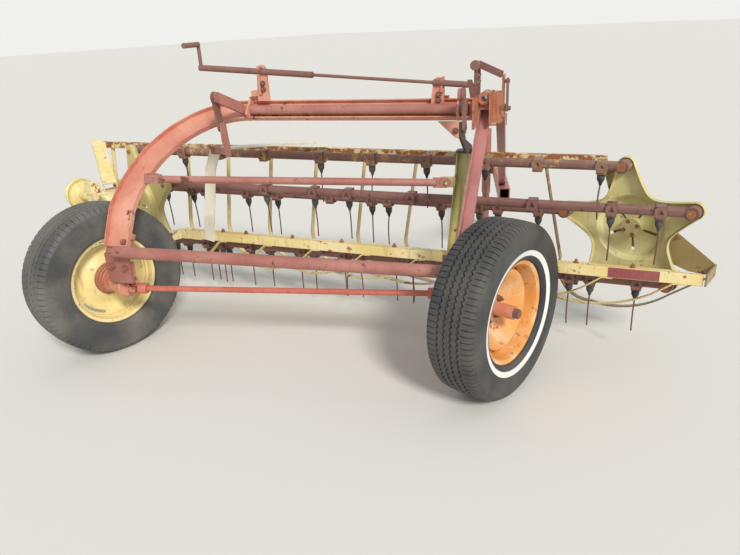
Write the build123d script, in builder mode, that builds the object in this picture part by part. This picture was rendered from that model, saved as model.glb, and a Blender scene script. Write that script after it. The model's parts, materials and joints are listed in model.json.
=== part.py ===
from build123d import *
from math import cos, radians, sin
import os

os.makedirs("parts", exist_ok=True)

# Side delivery rake, parked on its two wheels and its drawbar jack. Millimetres, +Z up,
# +Y the way it is towed, +X to the machine's right, the ground at Z = 0.
# Sizes below are given from the point on the ground midway between the two wheels.
# The part's own origin is under the middle of the whole machine, MIDDLE_X and MIDDLE_Y from there.
MIDDLE_X = -174
MIDDLE_Y = 911

# Wheels: the right one runs ahead of the left one
TRACK = 1672
STAGGER = 714
TYRE_RADIUS = 352
TYRE_WIDTH = 205
TREAD_WIDTH = 150
SHOULDER = 20
BEAD_RADIUS = 192
RIM_WIDTH = 150
RIM_LIP = 14
RIM_WALL = 5
DISC_RADIUS = 168
DISC_INSET = 30
DISC_BULGE = 26
SLOT_COUNT = 8
HUB_RADIUS = 38
HUB_PIPE_RADIUS = 27
HUB_FLANGE_RADIUS = 76
HUB_FLANGE = 10
HUB_IN = 95
HUB_OUT = 76
SPINDLE_RADIUS = 16
SPINDLE_NUT_RADIUS = 22
SPINDLE_NUT = 14
END_GAP = 2
RUNNING_FIT = 0.06
HOUSING_FACE = 110
HOUSING_LENGTH = 92
HOUSING_RADIUS = 52

# Heading of the basket and of the beam over it, anticlockwise from the machine's right
HEADING = 18.4

# Reel: two star heads that turn in planes across the travel, and five bars between them
REEL_RADIUS = 274
REEL_X = 1089
REEL_Y = 975
REEL_Z = 536
BAR_LENGTH = 2504
BAR_COUNT = 5
BAR_RADIUS = 20
BAR_WALL = 3.5
FIRST_BAR_ANGLE = 97.5
BAR_EYE_RADIUS = 28
BAR_EYE_WIDTH = 52
PIN_RADIUS = 11
PIN_REACH = 30
LEFT_PIN_GAP = 0.6
STATION_COUNT = 9
STATION_PITCH = 270
STATION_SHIFT = 100
TINE_HALF_GAP = 44
TINE_REACH = 228
TINE_RADIUS = 3.2
FUNNEL_TOP = 15
FUNNEL_TAPER = 11
FUNNEL_LENGTH = 52
CLAMP_SIZE = 48
CLAMP_WIDTH = 40
CLAMP_FOOT = 8

# Star heads
ARM_TIP_RADIUS = 44
ARM_ROOT_RADIUS = 96
STAR_CORE_RADIUS = 168
ARM_BLEND = 46
STAR_SHEET = 4
STAR_FLANGE = 33
STAR_BEHIND_EYE = 16
DISH_RADIUS = 132
DISH_FLOOR_RADIUS = 98
DISH_DEPTH = 30
HEAD_BOSS_RADIUS = 40
HEAD_BOSS = 26
HEAD_SHAFT_RADIUS = 16

# Basket frame: v is the distance square to the basket, z the height
ANGLE_V = 442
ANGLE_TOP = 426
ANGLE_FACE = 50
ANGLE_FLANGE = 22
ANGLE_WALL = 5
FLANGE_CLIP = 85
ANGLE_LEFT = -850
ANGLE_RIGHT = 1640
RAIL_V = 726
RAIL_TOP = 818
RAIL_FACE = 32
RAIL_WALL = 4
RAIL_LEFT = -1600
RAIL_RIGHT = 1236
STRIP_WIDTH = 22
STRIP_WALL = 5
STRIP_COUNT = 9
STRIP_TAB = 40
STRIP_TOP = (-512, 275)
STRIP_KNEE = (-600, -180)
STRIP_HEEL = (-562, -284)
STRIP_FLOOR_LEFT = (-460, -338)
STRIP_FLOOR_RIGHT = (-40, -340)
STRIP_CURVE = (170, -314)
STRIP_SLOPE = (345, -228)
STRIP_RIGHT = 424

# Frame over the basket, given from the same axes turned a little more, about the beam's right end
FRAME_HEADING = 22
BEAM_RIGHT_U = 741
BEAM_RIGHT_V = 345
LEAN = 48.6
ARCH_FOOT_U = -727
ARCH_FOOT_V = -120
ARCH_FOOT_Z = 500
ARCH_OUTER_BEND = 550
ARCH_FOOT_WIDTH = 128
ARCH_FOOT_SHIFT = -34
BEAM_WIDTH = 88
BEAM_RISE = 787
CHANNEL_DEPTH = 42
CHANNEL_WALL = 6
TUBE_RADIUS = 25.4
TUBE_WALL = 5
SHAFT_V = 342
SHAFT_Z = 1070
SHAFT_RADIUS = 20
BEARING_U = (-238, 684)


def ground(x, y, z):
    """A point given from the middle of the axle line, in the part's own frame."""
    return Vector(x - MIDDLE_X, y - MIDDLE_Y, z)


def along(u, v, z):
    """A point given along the basket (u), square to it (v) and up (z)."""
    turn = radians(HEADING)
    return ground(u * cos(turn) - v * sin(turn), u * sin(turn) + v * cos(turn), z)


def over(u, v, z):
    """The same for the frame over the basket, which is turned about the right end of its beam."""
    pivot = along(BEAM_RIGHT_U, BEAM_RIGHT_V, z)
    return pivot + FRAME_WAY * (u - BEAM_RIGHT_U) + FRAME_SIDE * (v - BEAM_RIGHT_V)


ALONG = Vector(cos(radians(HEADING)), sin(radians(HEADING)), 0)
ACROSS = Vector(-sin(radians(HEADING)), cos(radians(HEADING)), 0)
UP = Vector(0, 0, 1)
FRAME_WAY = Vector(cos(radians(FRAME_HEADING)), sin(radians(FRAME_HEADING)), 0)
FRAME_SIDE = Vector(-sin(radians(FRAME_HEADING)), cos(radians(FRAME_HEADING)), 0)


def rod(start, end, radius, mode=Mode.ADD):
    """Adds a round bar between two points to the part that is being built."""
    with Locations(Plane(origin=start, z_dir=end - start)):
        Cylinder(radius, (end - start).length, align=(Align.CENTER, Align.CENTER, Align.MIN), mode=mode)


def bar(start, end, width, height, side, mode=Mode.ADD):
    """Adds a rectangular bar between two points; its width lies along side."""
    with Locations(Plane(origin=start, x_dir=side, z_dir=end - start)):
        Box(width, height, (end - start).length, align=(Align.CENTER, Align.CENTER, Align.MIN), mode=mode)


def block(centre, x_dir, sizes, mode=Mode.ADD):
    """Adds an upright block turned to x_dir."""
    with Locations(Plane(origin=centre, x_dir=x_dir, z_dir=(0, 0, 1))):
        Box(*sizes, mode=mode)


def save(part, name):
    part.part.label = name
    export_step(part.part, f"parts/{name}.step")


# Wheels: each is worked out in a plane where x is the radius and y runs outwards
WHEELS = (
    # name, x, y, outward direction
    ("left", -TRACK / 2, -STAGGER / 2, -1),
    ("right", TRACK / 2, STAGGER / 2, 1),
)

for side, wheel_x, wheel_y, out in WHEELS:
    centre = ground(wheel_x, wheel_y, TYRE_RADIUS)
    section = Plane(origin=centre, x_dir=(0, 0, 1), z_dir=(0, out, 0))
    axle = Axis(centre, (1, 0, 0))
    half = TYRE_WIDTH / 2
    rim_half = RIM_WIDTH / 2
    wall_start = TYRE_RADIUS - 72
    with BuildPart() as tyre:
        with BuildSketch(section):
            with BuildLine():
                seat = rim_half - RIM_WALL
                lip = BEAD_RADIUS + RIM_LIP + 2
                side_points = [
                    (TYRE_RADIUS, TREAD_WIDTH / 2), (TYRE_RADIUS - SHOULDER, half - SHOULDER / 2),
                    (wall_start, half), (BEAD_RADIUS + 44, half - 8), (lip, seat), (BEAD_RADIUS, seat),
                ]
                Polyline(*side_points, *[(radius, -reach) for radius, reach in reversed(side_points)], close=True)
            make_face()
        revolve(axis=axle)
    save(tyre, f"{side}_tyre")

    disc_in = -DISC_INSET
    disc_out = RIM_WALL - DISC_INSET
    with BuildPart() as rim:
        with BuildSketch(section):
            with BuildLine():
                Polyline(
                    (BEAD_RADIUS - RIM_WALL, -rim_half),
                    (BEAD_RADIUS + RIM_LIP, -rim_half),
                    (BEAD_RADIUS + RIM_LIP, RIM_WALL - rim_half),
                    (BEAD_RADIUS, RIM_WALL - rim_half),
                    (BEAD_RADIUS, rim_half - RIM_WALL),
                    (BEAD_RADIUS + RIM_LIP, rim_half - RIM_WALL),
                    (BEAD_RADIUS + RIM_LIP, rim_half),
                    (BEAD_RADIUS - RIM_WALL, rim_half),
                    close=True,
                )
            make_face()
            with BuildLine():
                Polyline(
                    (HUB_PIPE_RADIUS, disc_in),
                    (HUB_FLANGE_RADIUS, disc_in),
                    (DISC_RADIUS - 28, disc_in + DISC_BULGE),
                    (BEAD_RADIUS, disc_in),
                    (BEAD_RADIUS, disc_out),
                    (DISC_RADIUS - 28, disc_out + DISC_BULGE),
                    (HUB_FLANGE_RADIUS, disc_out),
                    (HUB_PIPE_RADIUS, disc_out),
                    close=True,
                )
            make_face()
        revolve(axis=axle)
        with Locations(Plane(origin=centre, z_dir=(out, 0, 0))):
            with PolarLocations(DISC_RADIUS + 6, SLOT_COUNT):
                Box(18, 52, 2 * DISC_INSET, mode=Mode.SUBTRACT)
    save(rim, f"{side}_rim")

    with BuildPart() as hub:
        with Locations(Plane(origin=centre + Vector(-out * HUB_IN, 0, 0), z_dir=(out, 0, 0))):
            Cylinder(HUB_RADIUS, HUB_IN - DISC_INSET, align=(Align.CENTER, Align.CENTER, Align.MIN))
        with Locations(Plane(origin=centre + Vector(-out * DISC_INSET, 0, 0), z_dir=(-out, 0, 0))):
            Cylinder(HUB_FLANGE_RADIUS, HUB_FLANGE, align=(Align.CENTER, Align.CENTER, Align.MIN))
        with Locations(Plane(origin=centre + Vector(-out * DISC_INSET, 0, 0), z_dir=(out, 0, 0))):
            Cylinder(HUB_PIPE_RADIUS, HUB_OUT + DISC_INSET, align=(Align.CENTER, Align.CENTER, Align.MIN))
        with Locations(Plane(origin=centre, z_dir=(out, 0, 0))):
            Cylinder(SPINDLE_RADIUS + RUNNING_FIT, 4 * HUB_IN, mode=Mode.SUBTRACT)
    save(hub, f"{side}_hub")

# Cross tube, with the upright foot plate that is welded to it at each end
FOOT_PLATE = 10
FOOT_LOW = 392
FOOT_LAP = 110
FEET = {
    # plate u, v, width, top
    "left": (ARCH_FOOT_U, ARCH_FOOT_V + 20, 124, ARCH_FOOT_Z + 26),
    "right": (722, 60, 90, 560),
}
TUBE_LEFT_Z = 547
TUBE_RIGHT_Z = 503
tube_left = over(FEET["left"][0] + 20, FEET["left"][1] - FOOT_PLATE / 2 - TUBE_RADIUS, TUBE_LEFT_Z)
tube_right = over(FEET["right"][0] - 10, FEET["right"][1] - FOOT_PLATE / 2 - TUBE_RADIUS, TUBE_RIGHT_Z)
lean_up = UP * sin(radians(LEAN)) + FRAME_SIDE * cos(radians(LEAN))
lean_out = UP * cos(radians(LEAN)) - FRAME_SIDE * sin(radians(LEAN))

with BuildPart() as cross_tube:
    rod(tube_left, tube_right, TUBE_RADIUS)
    for u, v, width, top in FEET.values():
        bar(over(u, v, FOOT_LOW), over(u, v, top), width, FOOT_PLATE, FRAME_WAY)
    bend = over(ARCH_FOOT_U, ARCH_FOOT_V, ARCH_FOOT_Z) - lean_out * FOOT_PLATE / 2
    bar(bend + lean_up * 20, bend + lean_up * (20 + FOOT_LAP), FEET["left"][2], FOOT_PLATE, FRAME_WAY)
    inset = (tube_right - tube_left).normalized() * 60
    rod(tube_left + inset, tube_right - inset, TUBE_RADIUS - TUBE_WALL, mode=Mode.SUBTRACT)
save(cross_tube, "cross_tube")

# Axle housings: a round casting behind each wheel, with a pad up to the foot plate
SPINDLE_TIP = HUB_OUT + END_GAP + SPINDLE_NUT + 6
PAD_LOW = 384
PAD_TOP = 470
PAD_DEPTH = 50
PAD_WIDTH = 84
JOINT_X = 583
DRIVE_RADIUS = 12.5
KNUCKLE_RADIUS = 26
SEAT_GAP = 0.3
shaft_left = ground(-JOINT_X, -STAGGER / 2, TYRE_RADIUS)
shaft_right = ground(JOINT_X, STAGGER / 2, TYRE_RADIUS)
shaft_way = (shaft_right - shaft_left).normalized()
for side, wheel_x, wheel_y, out in WHEELS:
    centre = ground(wheel_x, wheel_y, TYRE_RADIUS)
    u, v, width, top = FEET[side]
    face = centre - Vector(out * HOUSING_FACE, 0, 0)
    with BuildPart() as housing:
        with Locations(Plane(origin=face, z_dir=(-out, 0, 0))):
            Cylinder(HOUSING_RADIUS, HOUSING_LENGTH, align=(Align.CENTER, Align.CENTER, Align.MIN))
        chamfer(housing.edges().filter_by(GeomType.CIRCLE), 6)
        pad = over(u + out * 8, v + FOOT_PLATE / 2 + PAD_DEPTH / 2, (PAD_LOW + PAD_TOP) / 2)
        block(pad, FRAME_WAY, (PAD_WIDTH, PAD_DEPTH, PAD_TOP - PAD_LOW))
        rod(face - Vector(out * 2, 0, 0), face + Vector(out * 60, 0, 0), SPINDLE_RADIUS, mode=Mode.SUBTRACT)
        knuckle = shaft_right if out > 0 else shaft_left
        rod(face - Vector(out * (HOUSING_LENGTH - 4), 0, 0), knuckle, DRIVE_RADIUS + 4)
        knuckle_face = knuckle + shaft_way * out * (KNUCKLE_RADIUS + SEAT_GAP)
        rod(knuckle_face, knuckle_face - shaft_way * out * 120, 2 * KNUCKLE_RADIUS, mode=Mode.SUBTRACT)
    save(housing, f"{side}_axle_housing")

    with BuildPart() as spindle:
        with Locations(Plane(origin=face - Vector(out * 2, 0, 0), z_dir=(out, 0, 0))):
            Cylinder(SPINDLE_RADIUS, HOUSING_FACE + 2 + SPINDLE_TIP, align=(Align.CENTER, Align.CENTER, Align.MIN))
        with BuildSketch(Plane(origin=centre + Vector(out * (HUB_OUT + END_GAP), 0, 0), z_dir=(out, 0, 0))):
            RegularPolygon(SPINDLE_NUT_RADIUS, 6)
        extrude(amount=SPINDLE_NUT)
    save(spindle, f"{side}_spindle")

# Arch beam: a channel that stands on the left foot, leans forward and runs over the basket
arch_plane = Plane(
    origin=over(ARCH_FOOT_U, ARCH_FOOT_V, ARCH_FOOT_Z), x_dir=FRAME_WAY, z_dir=lean_out
)
BEAM_END = BEAM_RIGHT_U - ARCH_FOOT_U
outer_left = -ARCH_FOOT_WIDTH / 2 + ARCH_FOOT_SHIFT
inner_left = outer_left + ARCH_FOOT_WIDTH
bend_height = BEAM_RISE - ARCH_OUTER_BEND
inner_bend = BEAM_RISE - BEAM_WIDTH - bend_height
with BuildPart() as arch_beam:
    with BuildSketch(arch_plane) as arch_outline:
        with BuildLine():
            foot = Line((inner_left + 30, 60), (outer_left + 36, 60))
            outer_leg = Line(foot @ 1, (outer_left, bend_height))
            outer_turn = RadiusArc(
                outer_leg @ 1, (outer_left + ARCH_OUTER_BEND, BEAM_RISE), ARCH_OUTER_BEND
            )
            top = Line(outer_turn @ 1, (BEAM_END, BEAM_RISE))
            end = Line(top @ 1, (BEAM_END, BEAM_RISE - BEAM_WIDTH))
            lower = Line(end @ 1, (inner_left + inner_bend, BEAM_RISE - BEAM_WIDTH))
            inner_turn = RadiusArc(lower @ 1, (inner_left, bend_height), -inner_bend)
            Line(inner_turn @ 1, foot @ 0)
        make_face()
    extrude(amount=CHANNEL_DEPTH)
    with BuildSketch(arch_plane.offset(CHANNEL_WALL)):
        add(arch_outline.sketch_local)
        offset(amount=-CHANNEL_WALL, kind=Kind.INTERSECTION, mode=Mode.REPLACE)
    extrude(amount=CHANNEL_DEPTH, mode=Mode.SUBTRACT)
    for u in BEARING_U:
        with Locations(Plane(origin=over(u, SHAFT_V, SHAFT_Z), x_dir=lean_up, z_dir=FRAME_WAY)):
            Box(BEAM_WIDTH - 2 * CHANNEL_WALL + 2, 50, 10)
            Cylinder(SHAFT_RADIUS + RUNNING_FIT, 20, mode=Mode.SUBTRACT)
save(arch_beam, "arch_beam")

# Leg from the right foot plate up to the head, and the plates, pivot tube and post at the head
LEG_SIDE = 44
LEG_WALL = 6
LEG_TOP = (771.5, 450, 1054)
LEG_LOW = (742, 72, 532)
leg_top = over(*LEG_TOP)
leg_low = over(*LEG_LOW)
leg_way = (leg_top - leg_low).normalized()
with BuildPart() as right_leg:
    bar(leg_low - leg_way * 60, leg_top + leg_way * 60, LEG_SIDE, LEG_SIDE, FRAME_WAY)
    inward = FRAME_WAY * LEG_WALL + leg_way.cross(FRAME_WAY) * -LEG_WALL
    bar(
        leg_low + inward - leg_way * 80, leg_top + inward + leg_way * 80, LEG_SIDE, LEG_SIDE, FRAME_WAY,
        mode=Mode.SUBTRACT,
    )
    plate_face = FEET["right"][1] + FOOT_PLATE / 2
    block(over(LEG_LOW[0], plate_face - 100, 500), FRAME_WAY, (200, 200, 400), mode=Mode.SUBTRACT)
    block(over(LEG_TOP[0], LEG_TOP[1], LEG_TOP[2] + 50), FRAME_WAY, (200, 200, 100), mode=Mode.SUBTRACT)
save(right_leg, "right_leg")

HEAD_V = 460
PLATE_HALF = 4
head_left = BEAM_RIGHT_U + PLATE_HALF
leg_right = LEG_TOP[0] + LEG_SIDE / 2
with BuildPart() as head_bracket:
    block(over(head_left, 400, 1052), FRAME_WAY, (2 * PLATE_HALF, 190, 116))
    block(over(LEG_TOP[0], 455, LEG_TOP[2] + 12), FRAME_WAY, (LEG_SIDE, 70, 24))
    rod(over(LEG_TOP[0], 405, 1099), over(LEG_TOP[0], 505, 1099), 25)
    block(over(leg_right + 3.5, 440, 1062), FRAME_WAY, (7, 100, 124))
    block(over(leg_right + 25, HEAD_V, 1060), FRAME_WAY, (36, 60, 120))
    block(over(leg_right + 46, HEAD_V, 1103), FRAME_WAY, (6, 60, 164))
    rod(over(LEG_TOP[0], 395, 1099), over(LEG_TOP[0], 515, 1099), 11, mode=Mode.SUBTRACT)
    add(right_leg.part, mode=Mode.SUBTRACT)
save(head_bracket, "head_bracket")

# Small height control: screw rod, its brackets, the bell crank and the links over the head
ROD_V = 360
rod_plate = over(-185, ROD_V, 1228)
ROD_RIGHT = over(716, ROD_V, 1158)
rod_way = (ROD_RIGHT - rod_plate).normalized()
with BuildPart() as crank_rod:
    rod(rod_plate - rod_way * 290, rod_plate + rod_way * 250, 13)
    rod(rod_plate + rod_way * 250, ROD_RIGHT - rod_way * 140, 6.5)
    rod(ROD_RIGHT - rod_way * 140, ROD_RIGHT, 12)
    grip = rod_plate - rod_way * 282
    rod(grip, grip + UP * 105, 8)
    rod(grip + UP * 97, grip + UP * 97 - FRAME_SIDE * 110, 11)
save(crank_rod, "crank_rod")

with BuildPart() as crank_brackets:
    for u, thick, width in ((-185, 10, 46), (612, 8, 44)):
        middle = rod_plate + rod_way * ((u + 185) / rod_way.dot(FRAME_WAY))
        block(over(u, 374, middle.Z - 48), FRAME_WAY, (thick, width, 140))
        rod(middle - rod_way * 30, middle + rod_way * 30, 13.1 if u < 0 else 12.1, mode=Mode.SUBTRACT)
    block(over(-207, 380, 1118), FRAME_WAY, (54, 40, 60))
    block(over(-236, 384, 1098), FRAME_WAY, (30, 34, 50))
    block(over(612, 380, 1098), FRAME_WAY, (46, 32, 36))
    with Locations(arch_plane):
        with Locations((BEAM_END / 2, BEAM_RISE - 100, 0)):
            Box(2 * BEAM_END, 200, 160, mode=Mode.SUBTRACT)
save(crank_brackets, "crank_brackets")

with BuildPart() as head_links:
    links_u = BEAM_RIGHT_U - 5
    for v in (416, 496):
        bar(over(links_u, v, 1096), over(links_u, v, 1236), 10, 22, FRAME_WAY)
    rod(over(links_u, 392, 1226), over(links_u, 514, 1226), 10)
    rod(over(links_u, 388, 1226), over(links_u, 405, 1226), 19)
    for z in (1182, 1156):
        rod(over(links_u, 400, z), over(links_u, 516, z), 6)
    plate_left = leg_right + 43
    bar(over(links_u + 4, 478, 1224), over(plate_left - 4, 466, 1184), 18, 26, FRAME_SIDE)
    with BuildSketch(Plane(origin=over(0, 413, 0), x_dir=FRAME_WAY, z_dir=-FRAME_SIDE)):
        Polygon(
            (links_u - 32, 1172), (links_u - 14, 1172), (links_u + 5, 1118), (links_u + 5, 1052),
            (links_u - 14, 1076), align=None,
        )
    extrude(amount=10)
    block(over(plate_left + 50, 452, 1100), FRAME_WAY, (100, 300, 400), mode=Mode.SUBTRACT)
    plate_right = plate_left + 6
    rod(over(plate_right, 452, 1160), over(plate_right + 22, 452, 1160), 7)
    rod(over(plate_right, 452, 1056), over(plate_right + 28, 452, 1056), 9)
    bar(over(plate_right + 14, 452, 1044), over(plate_right + 14, 452, 1172), 8, 26, FRAME_WAY)
save(head_links, "head_links")

# Strut from the head over the basket down to the drawbar, the drawbar, its hitch eye and the jack
STRUT_WIDTH = 36
STRUT_DEPTH = 40
STRUT_TOP = (822, 470, 1060)
STRUT_LOW = (632, 1588, 450)
TONGUE_Z = 430
TONGUE_WIDTH = 60
TONGUE_HEIGHT = 90
TONGUE_WALL = 5
TONGUE_BACK = ground(195, 1560, TONGUE_Z)
TONGUE_FRONT = ground(-365, 2425, TONGUE_Z)
tongue_way = (TONGUE_FRONT - TONGUE_BACK).normalized()
tongue_side = tongue_way.cross(UP)
with BuildPart() as front_strut:
    bar(along(*STRUT_TOP), along(*STRUT_LOW), STRUT_WIDTH, STRUT_DEPTH, ALONG)
    block(over(STRUT_TOP[0], HEAD_V - 20, 1040), FRAME_WAY, (120, 100, 200), mode=Mode.SUBTRACT)
    under = along(STRUT_LOW[0], STRUT_LOW[1], TONGUE_Z)
    block(under, ALONG, (300, 300, TONGUE_HEIGHT), mode=Mode.SUBTRACT)
save(front_strut, "front_strut")

with BuildPart() as drawbar:
    bar(TONGUE_BACK, TONGUE_FRONT, TONGUE_WIDTH, TONGUE_HEIGHT, tongue_side)
    bar(
        TONGUE_BACK - tongue_way * 5,
        TONGUE_FRONT + tongue_way * 5,
        TONGUE_WIDTH - 2 * TONGUE_WALL,
        TONGUE_HEIGHT - 2 * TONGUE_WALL,
        tongue_side,
        mode=Mode.SUBTRACT,
    )
save(drawbar, "drawbar")

EYE_THICK = 25
EYE_BORE = 13
EYE_REACH = 80
eye_centre = TONGUE_FRONT + tongue_way * EYE_REACH
with BuildPart() as hitch_eye:
    bar(TONGUE_FRONT, TONGUE_FRONT + tongue_way * 12, TONGUE_WIDTH, TONGUE_HEIGHT, tongue_side)
    block((TONGUE_FRONT + eye_centre) * 0.5, tongue_way, (EYE_REACH, 76, EYE_THICK))
    with Locations(Plane(origin=eye_centre)):
        Cylinder(38, EYE_THICK)
        Cylinder(EYE_BORE, 2 * EYE_THICK, mode=Mode.SUBTRACT)
save(hitch_eye, "hitch_eye")

JACK_RADIUS = 30
JACK_LEG_RADIUS = 24
JACK_WALL = 5
jack_foot = TONGUE_FRONT - tongue_way * 260 - tongue_side * (TONGUE_WIDTH / 2 + 12 + JACK_RADIUS)
jack_foot = Vector(jack_foot.X, jack_foot.Y, 0)
with BuildPart() as jack_outer:
    rod(jack_foot + UP * 250, jack_foot + UP * 690, JACK_RADIUS)
    rod(jack_foot + UP * 240, jack_foot + UP * 680, JACK_LEG_RADIUS + SEAT_GAP, mode=Mode.SUBTRACT)
    block(jack_foot + UP * TONGUE_Z + tongue_side * (JACK_RADIUS + 5), tongue_way, (90, 14, 80))
    rod(jack_foot + UP * 250, jack_foot + UP * 680, JACK_LEG_RADIUS + SEAT_GAP, mode=Mode.SUBTRACT)
    rod(jack_foot + UP * 690, jack_foot + UP * 715, 12)
    rod(jack_foot + UP * 715 - tongue_side * 20, jack_foot + UP * 715 + tongue_side * 120, 7)
    rod(jack_foot + UP * 712 + tongue_side * 120, jack_foot + UP * 790 + tongue_side * 120, 9)
save(jack_outer, "jack_outer")

with BuildPart() as jack_leg:
    rod(jack_foot + UP * 6, jack_foot + UP * 420, JACK_LEG_RADIUS)
    rod(jack_foot, jack_foot + UP * 8, 80)
    rod(jack_foot + UP * 12, jack_foot + UP * 425, JACK_LEG_RADIUS - 4, mode=Mode.SUBTRACT)
save(jack_leg, "jack_leg")

# Lift: the rockshaft in the channel, its two levers, and a link from each lever to the basket
LEVERS = (
    # name, shaft u, tip u, link side
    ("left", -268, -312, -1),
    ("right", 714, 714, 1),
)
LEVER_THICK = 12
LINK_THICK = 10
LINK_GAP = 2
LINK_EYE = 24
TIP_V = 205
TIP_Z = 1140
LIFT_PIN_V = 225
LIFT_PIN_Z = 1015
LIFT_PIN_RADIUS = 6
LOOSE_EYE_RADIUS = 10
EYE_PLAY = LOOSE_EYE_RADIUS - LIFT_PIN_RADIUS - SEAT_GAP
link_offset = LEVER_THICK / 2 + LINK_GAP + LINK_THICK / 2
with BuildPart() as rockshaft:
    rod(over(-282, SHAFT_V, SHAFT_Z), over(722, SHAFT_V, SHAFT_Z), SHAFT_RADIUS)
    rod(over(-262, SHAFT_V, SHAFT_Z), over(730, SHAFT_V, SHAFT_Z), SHAFT_RADIUS - 4, mode=Mode.SUBTRACT)
    for name, u, tip_u, out in LEVERS:
        root = over(u, SHAFT_V - 14, SHAFT_Z + 8)
        tip = over(tip_u, TIP_V, TIP_Z)
        bar(root, tip, LEVER_THICK, 44, FRAME_WAY)
        rod(tip - FRAME_WAY * LEVER_THICK / 2, tip + FRAME_WAY * LEVER_THICK / 2, 22)
        rod(tip, tip + FRAME_WAY * out * (link_offset + LINK_THICK / 2 + 4), LIFT_PIN_RADIUS)
save(rockshaft, "rockshaft")

for name, u, tip_u, out in LEVERS:
    link_u = tip_u + out * link_offset
    upper = over(link_u, TIP_V, TIP_Z)
    lower = over(link_u, LIFT_PIN_V + EYE_PLAY * sin(radians(45)), LIFT_PIN_Z + EYE_PLAY * cos(radians(45)))
    eyes = ((upper, LIFT_PIN_RADIUS + RUNNING_FIT), (lower, LOOSE_EYE_RADIUS))
    with BuildPart() as link:
        bar(upper, lower, LINK_THICK, 40, FRAME_WAY)
        for end, bore in eyes:
            rod(end - FRAME_WAY * LINK_THICK / 2, end + FRAME_WAY * LINK_THICK / 2, LINK_EYE)
        for end, bore in eyes:
            rod(end - FRAME_WAY * LINK_THICK, end + FRAME_WAY * LINK_THICK, bore, mode=Mode.SUBTRACT)
    save(link, f"{name}_lift_link")

# Radius rod from the arch to the right upright, and the drive shaft between the hubs' joints
RADIUS_PIN = 7
RADIUS_PLAY = 1.2
RADIUS_LEFT = (-630, 105, 808)
RADIUS_RIGHT = (620, 388, 760)
radius_start = over(*RADIUS_LEFT)
radius_end = over(*RADIUS_RIGHT)
radius_way = (radius_end - radius_start).normalized()
radius_axis = UP.cross(radius_way).normalized()
with BuildPart() as radius_rod:
    rod(radius_start + radius_way * 30, radius_end - radius_way * 40, 16)
    for end, reach in ((radius_start, 44), (radius_end, -54)):
        bar(end, end + radius_way * reach, 12, 42, radius_axis)
        rod(end - radius_axis * 6, end + radius_axis * 6, 21)
    for end, bore in ((radius_start, 8 + RUNNING_FIT), (radius_end, RADIUS_PIN + RADIUS_PLAY + SEAT_GAP)):
        rod(end - radius_axis * 20, end + radius_axis * 20, bore, mode=Mode.SUBTRACT)
save(radius_rod, "radius_rod")

with BuildPart() as radius_bracket:
    plate = radius_start + radius_axis * 14
    bar(plate + radius_way * 22, plate - radius_way * 60, 10, 44, radius_axis)
    rod(radius_start - radius_axis * 10, radius_start + radius_axis * 18, 8)
    with BuildSketch(arch_plane.offset(-30)):
        add(arch_outline.sketch_local)
    extrude(amount=100, mode=Mode.SUBTRACT)
save(radius_bracket, "radius_rod_bracket")

with BuildPart() as drive_shaft:
    rod(shaft_left, shaft_right, DRIVE_RADIUS)
    for end, inward in ((shaft_left, shaft_way), (shaft_right, -shaft_way)):
        rod(end - inward * KNUCKLE_RADIUS, end + inward * 60, KNUCKLE_RADIUS)
save(drive_shaft, "drive_shaft")

# Basket frame: rear angle, top rail, uprights and end frames
rail_plane = Plane(origin=along(RAIL_LEFT, 0, 0), x_dir=ACROSS, z_dir=ALONG)
angle_plane = Plane(origin=along(ANGLE_LEFT, 0, 0), x_dir=ACROSS, z_dir=ALONG)
with BuildPart() as rear_angle:
    with BuildSketch(angle_plane):
        Polygon(
            (ANGLE_V, ANGLE_TOP - ANGLE_FACE),
            (ANGLE_V + ANGLE_WALL, ANGLE_TOP - ANGLE_FACE),
            (ANGLE_V + ANGLE_WALL, ANGLE_TOP - ANGLE_WALL),
            (ANGLE_V + ANGLE_FLANGE, ANGLE_TOP - ANGLE_WALL),
            (ANGLE_V + ANGLE_FLANGE, ANGLE_TOP),
            (ANGLE_V, ANGLE_TOP),
            align=None,
        )
    extrude(amount=ANGLE_RIGHT - ANGLE_LEFT)
    clipped = along(ANGLE_RIGHT, ANGLE_V + ANGLE_WALL + ANGLE_FLANGE / 2, ANGLE_TOP)
    block(clipped, ALONG, (2 * FLANGE_CLIP, ANGLE_FLANGE, 4 * ANGLE_WALL), mode=Mode.SUBTRACT)
save(rear_angle, "rear_angle")

with BuildPart() as top_rail:
    with BuildSketch(rail_plane):
        Polygon(
            (RAIL_V, RAIL_TOP - RAIL_FACE),
            (RAIL_V + RAIL_WALL, RAIL_TOP - RAIL_FACE),
            (RAIL_V + RAIL_WALL, RAIL_TOP - RAIL_WALL),
            (RAIL_V + RAIL_FACE, RAIL_TOP - RAIL_WALL),
            (RAIL_V + RAIL_FACE, RAIL_TOP),
            (RAIL_V, RAIL_TOP),
            align=None,
        )
    extrude(amount=RAIL_RIGHT - RAIL_LEFT)
save(top_rail, "top_rail")

# Left upright: a strap up from the rear angle, then forward to the top rail
with BuildPart() as left_upright:
    strap_v = ANGLE_V - 3
    low = along(-684, strap_v, ANGLE_TOP - ANGLE_FACE)
    knee = along(-612, strap_v, 755)
    top = along(-560, strap_v, 866)
    bar(low, knee, 60, 6, ALONG)
    bar(knee - (top - knee) * 0.06, top, 56, 6, ALONG)
    strap = (top - UP * 4, along(-330, 590, 860), along(-150, 696, 854), along(-88, RAIL_V + 18, RAIL_TOP + 4))
    for start, end in zip(strap, strap[1:]):
        bar(start, end, 8, 54, UP)
    block(strap[3], ALONG, (60, 28, 8))
save(left_upright, "left_upright")

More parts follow.
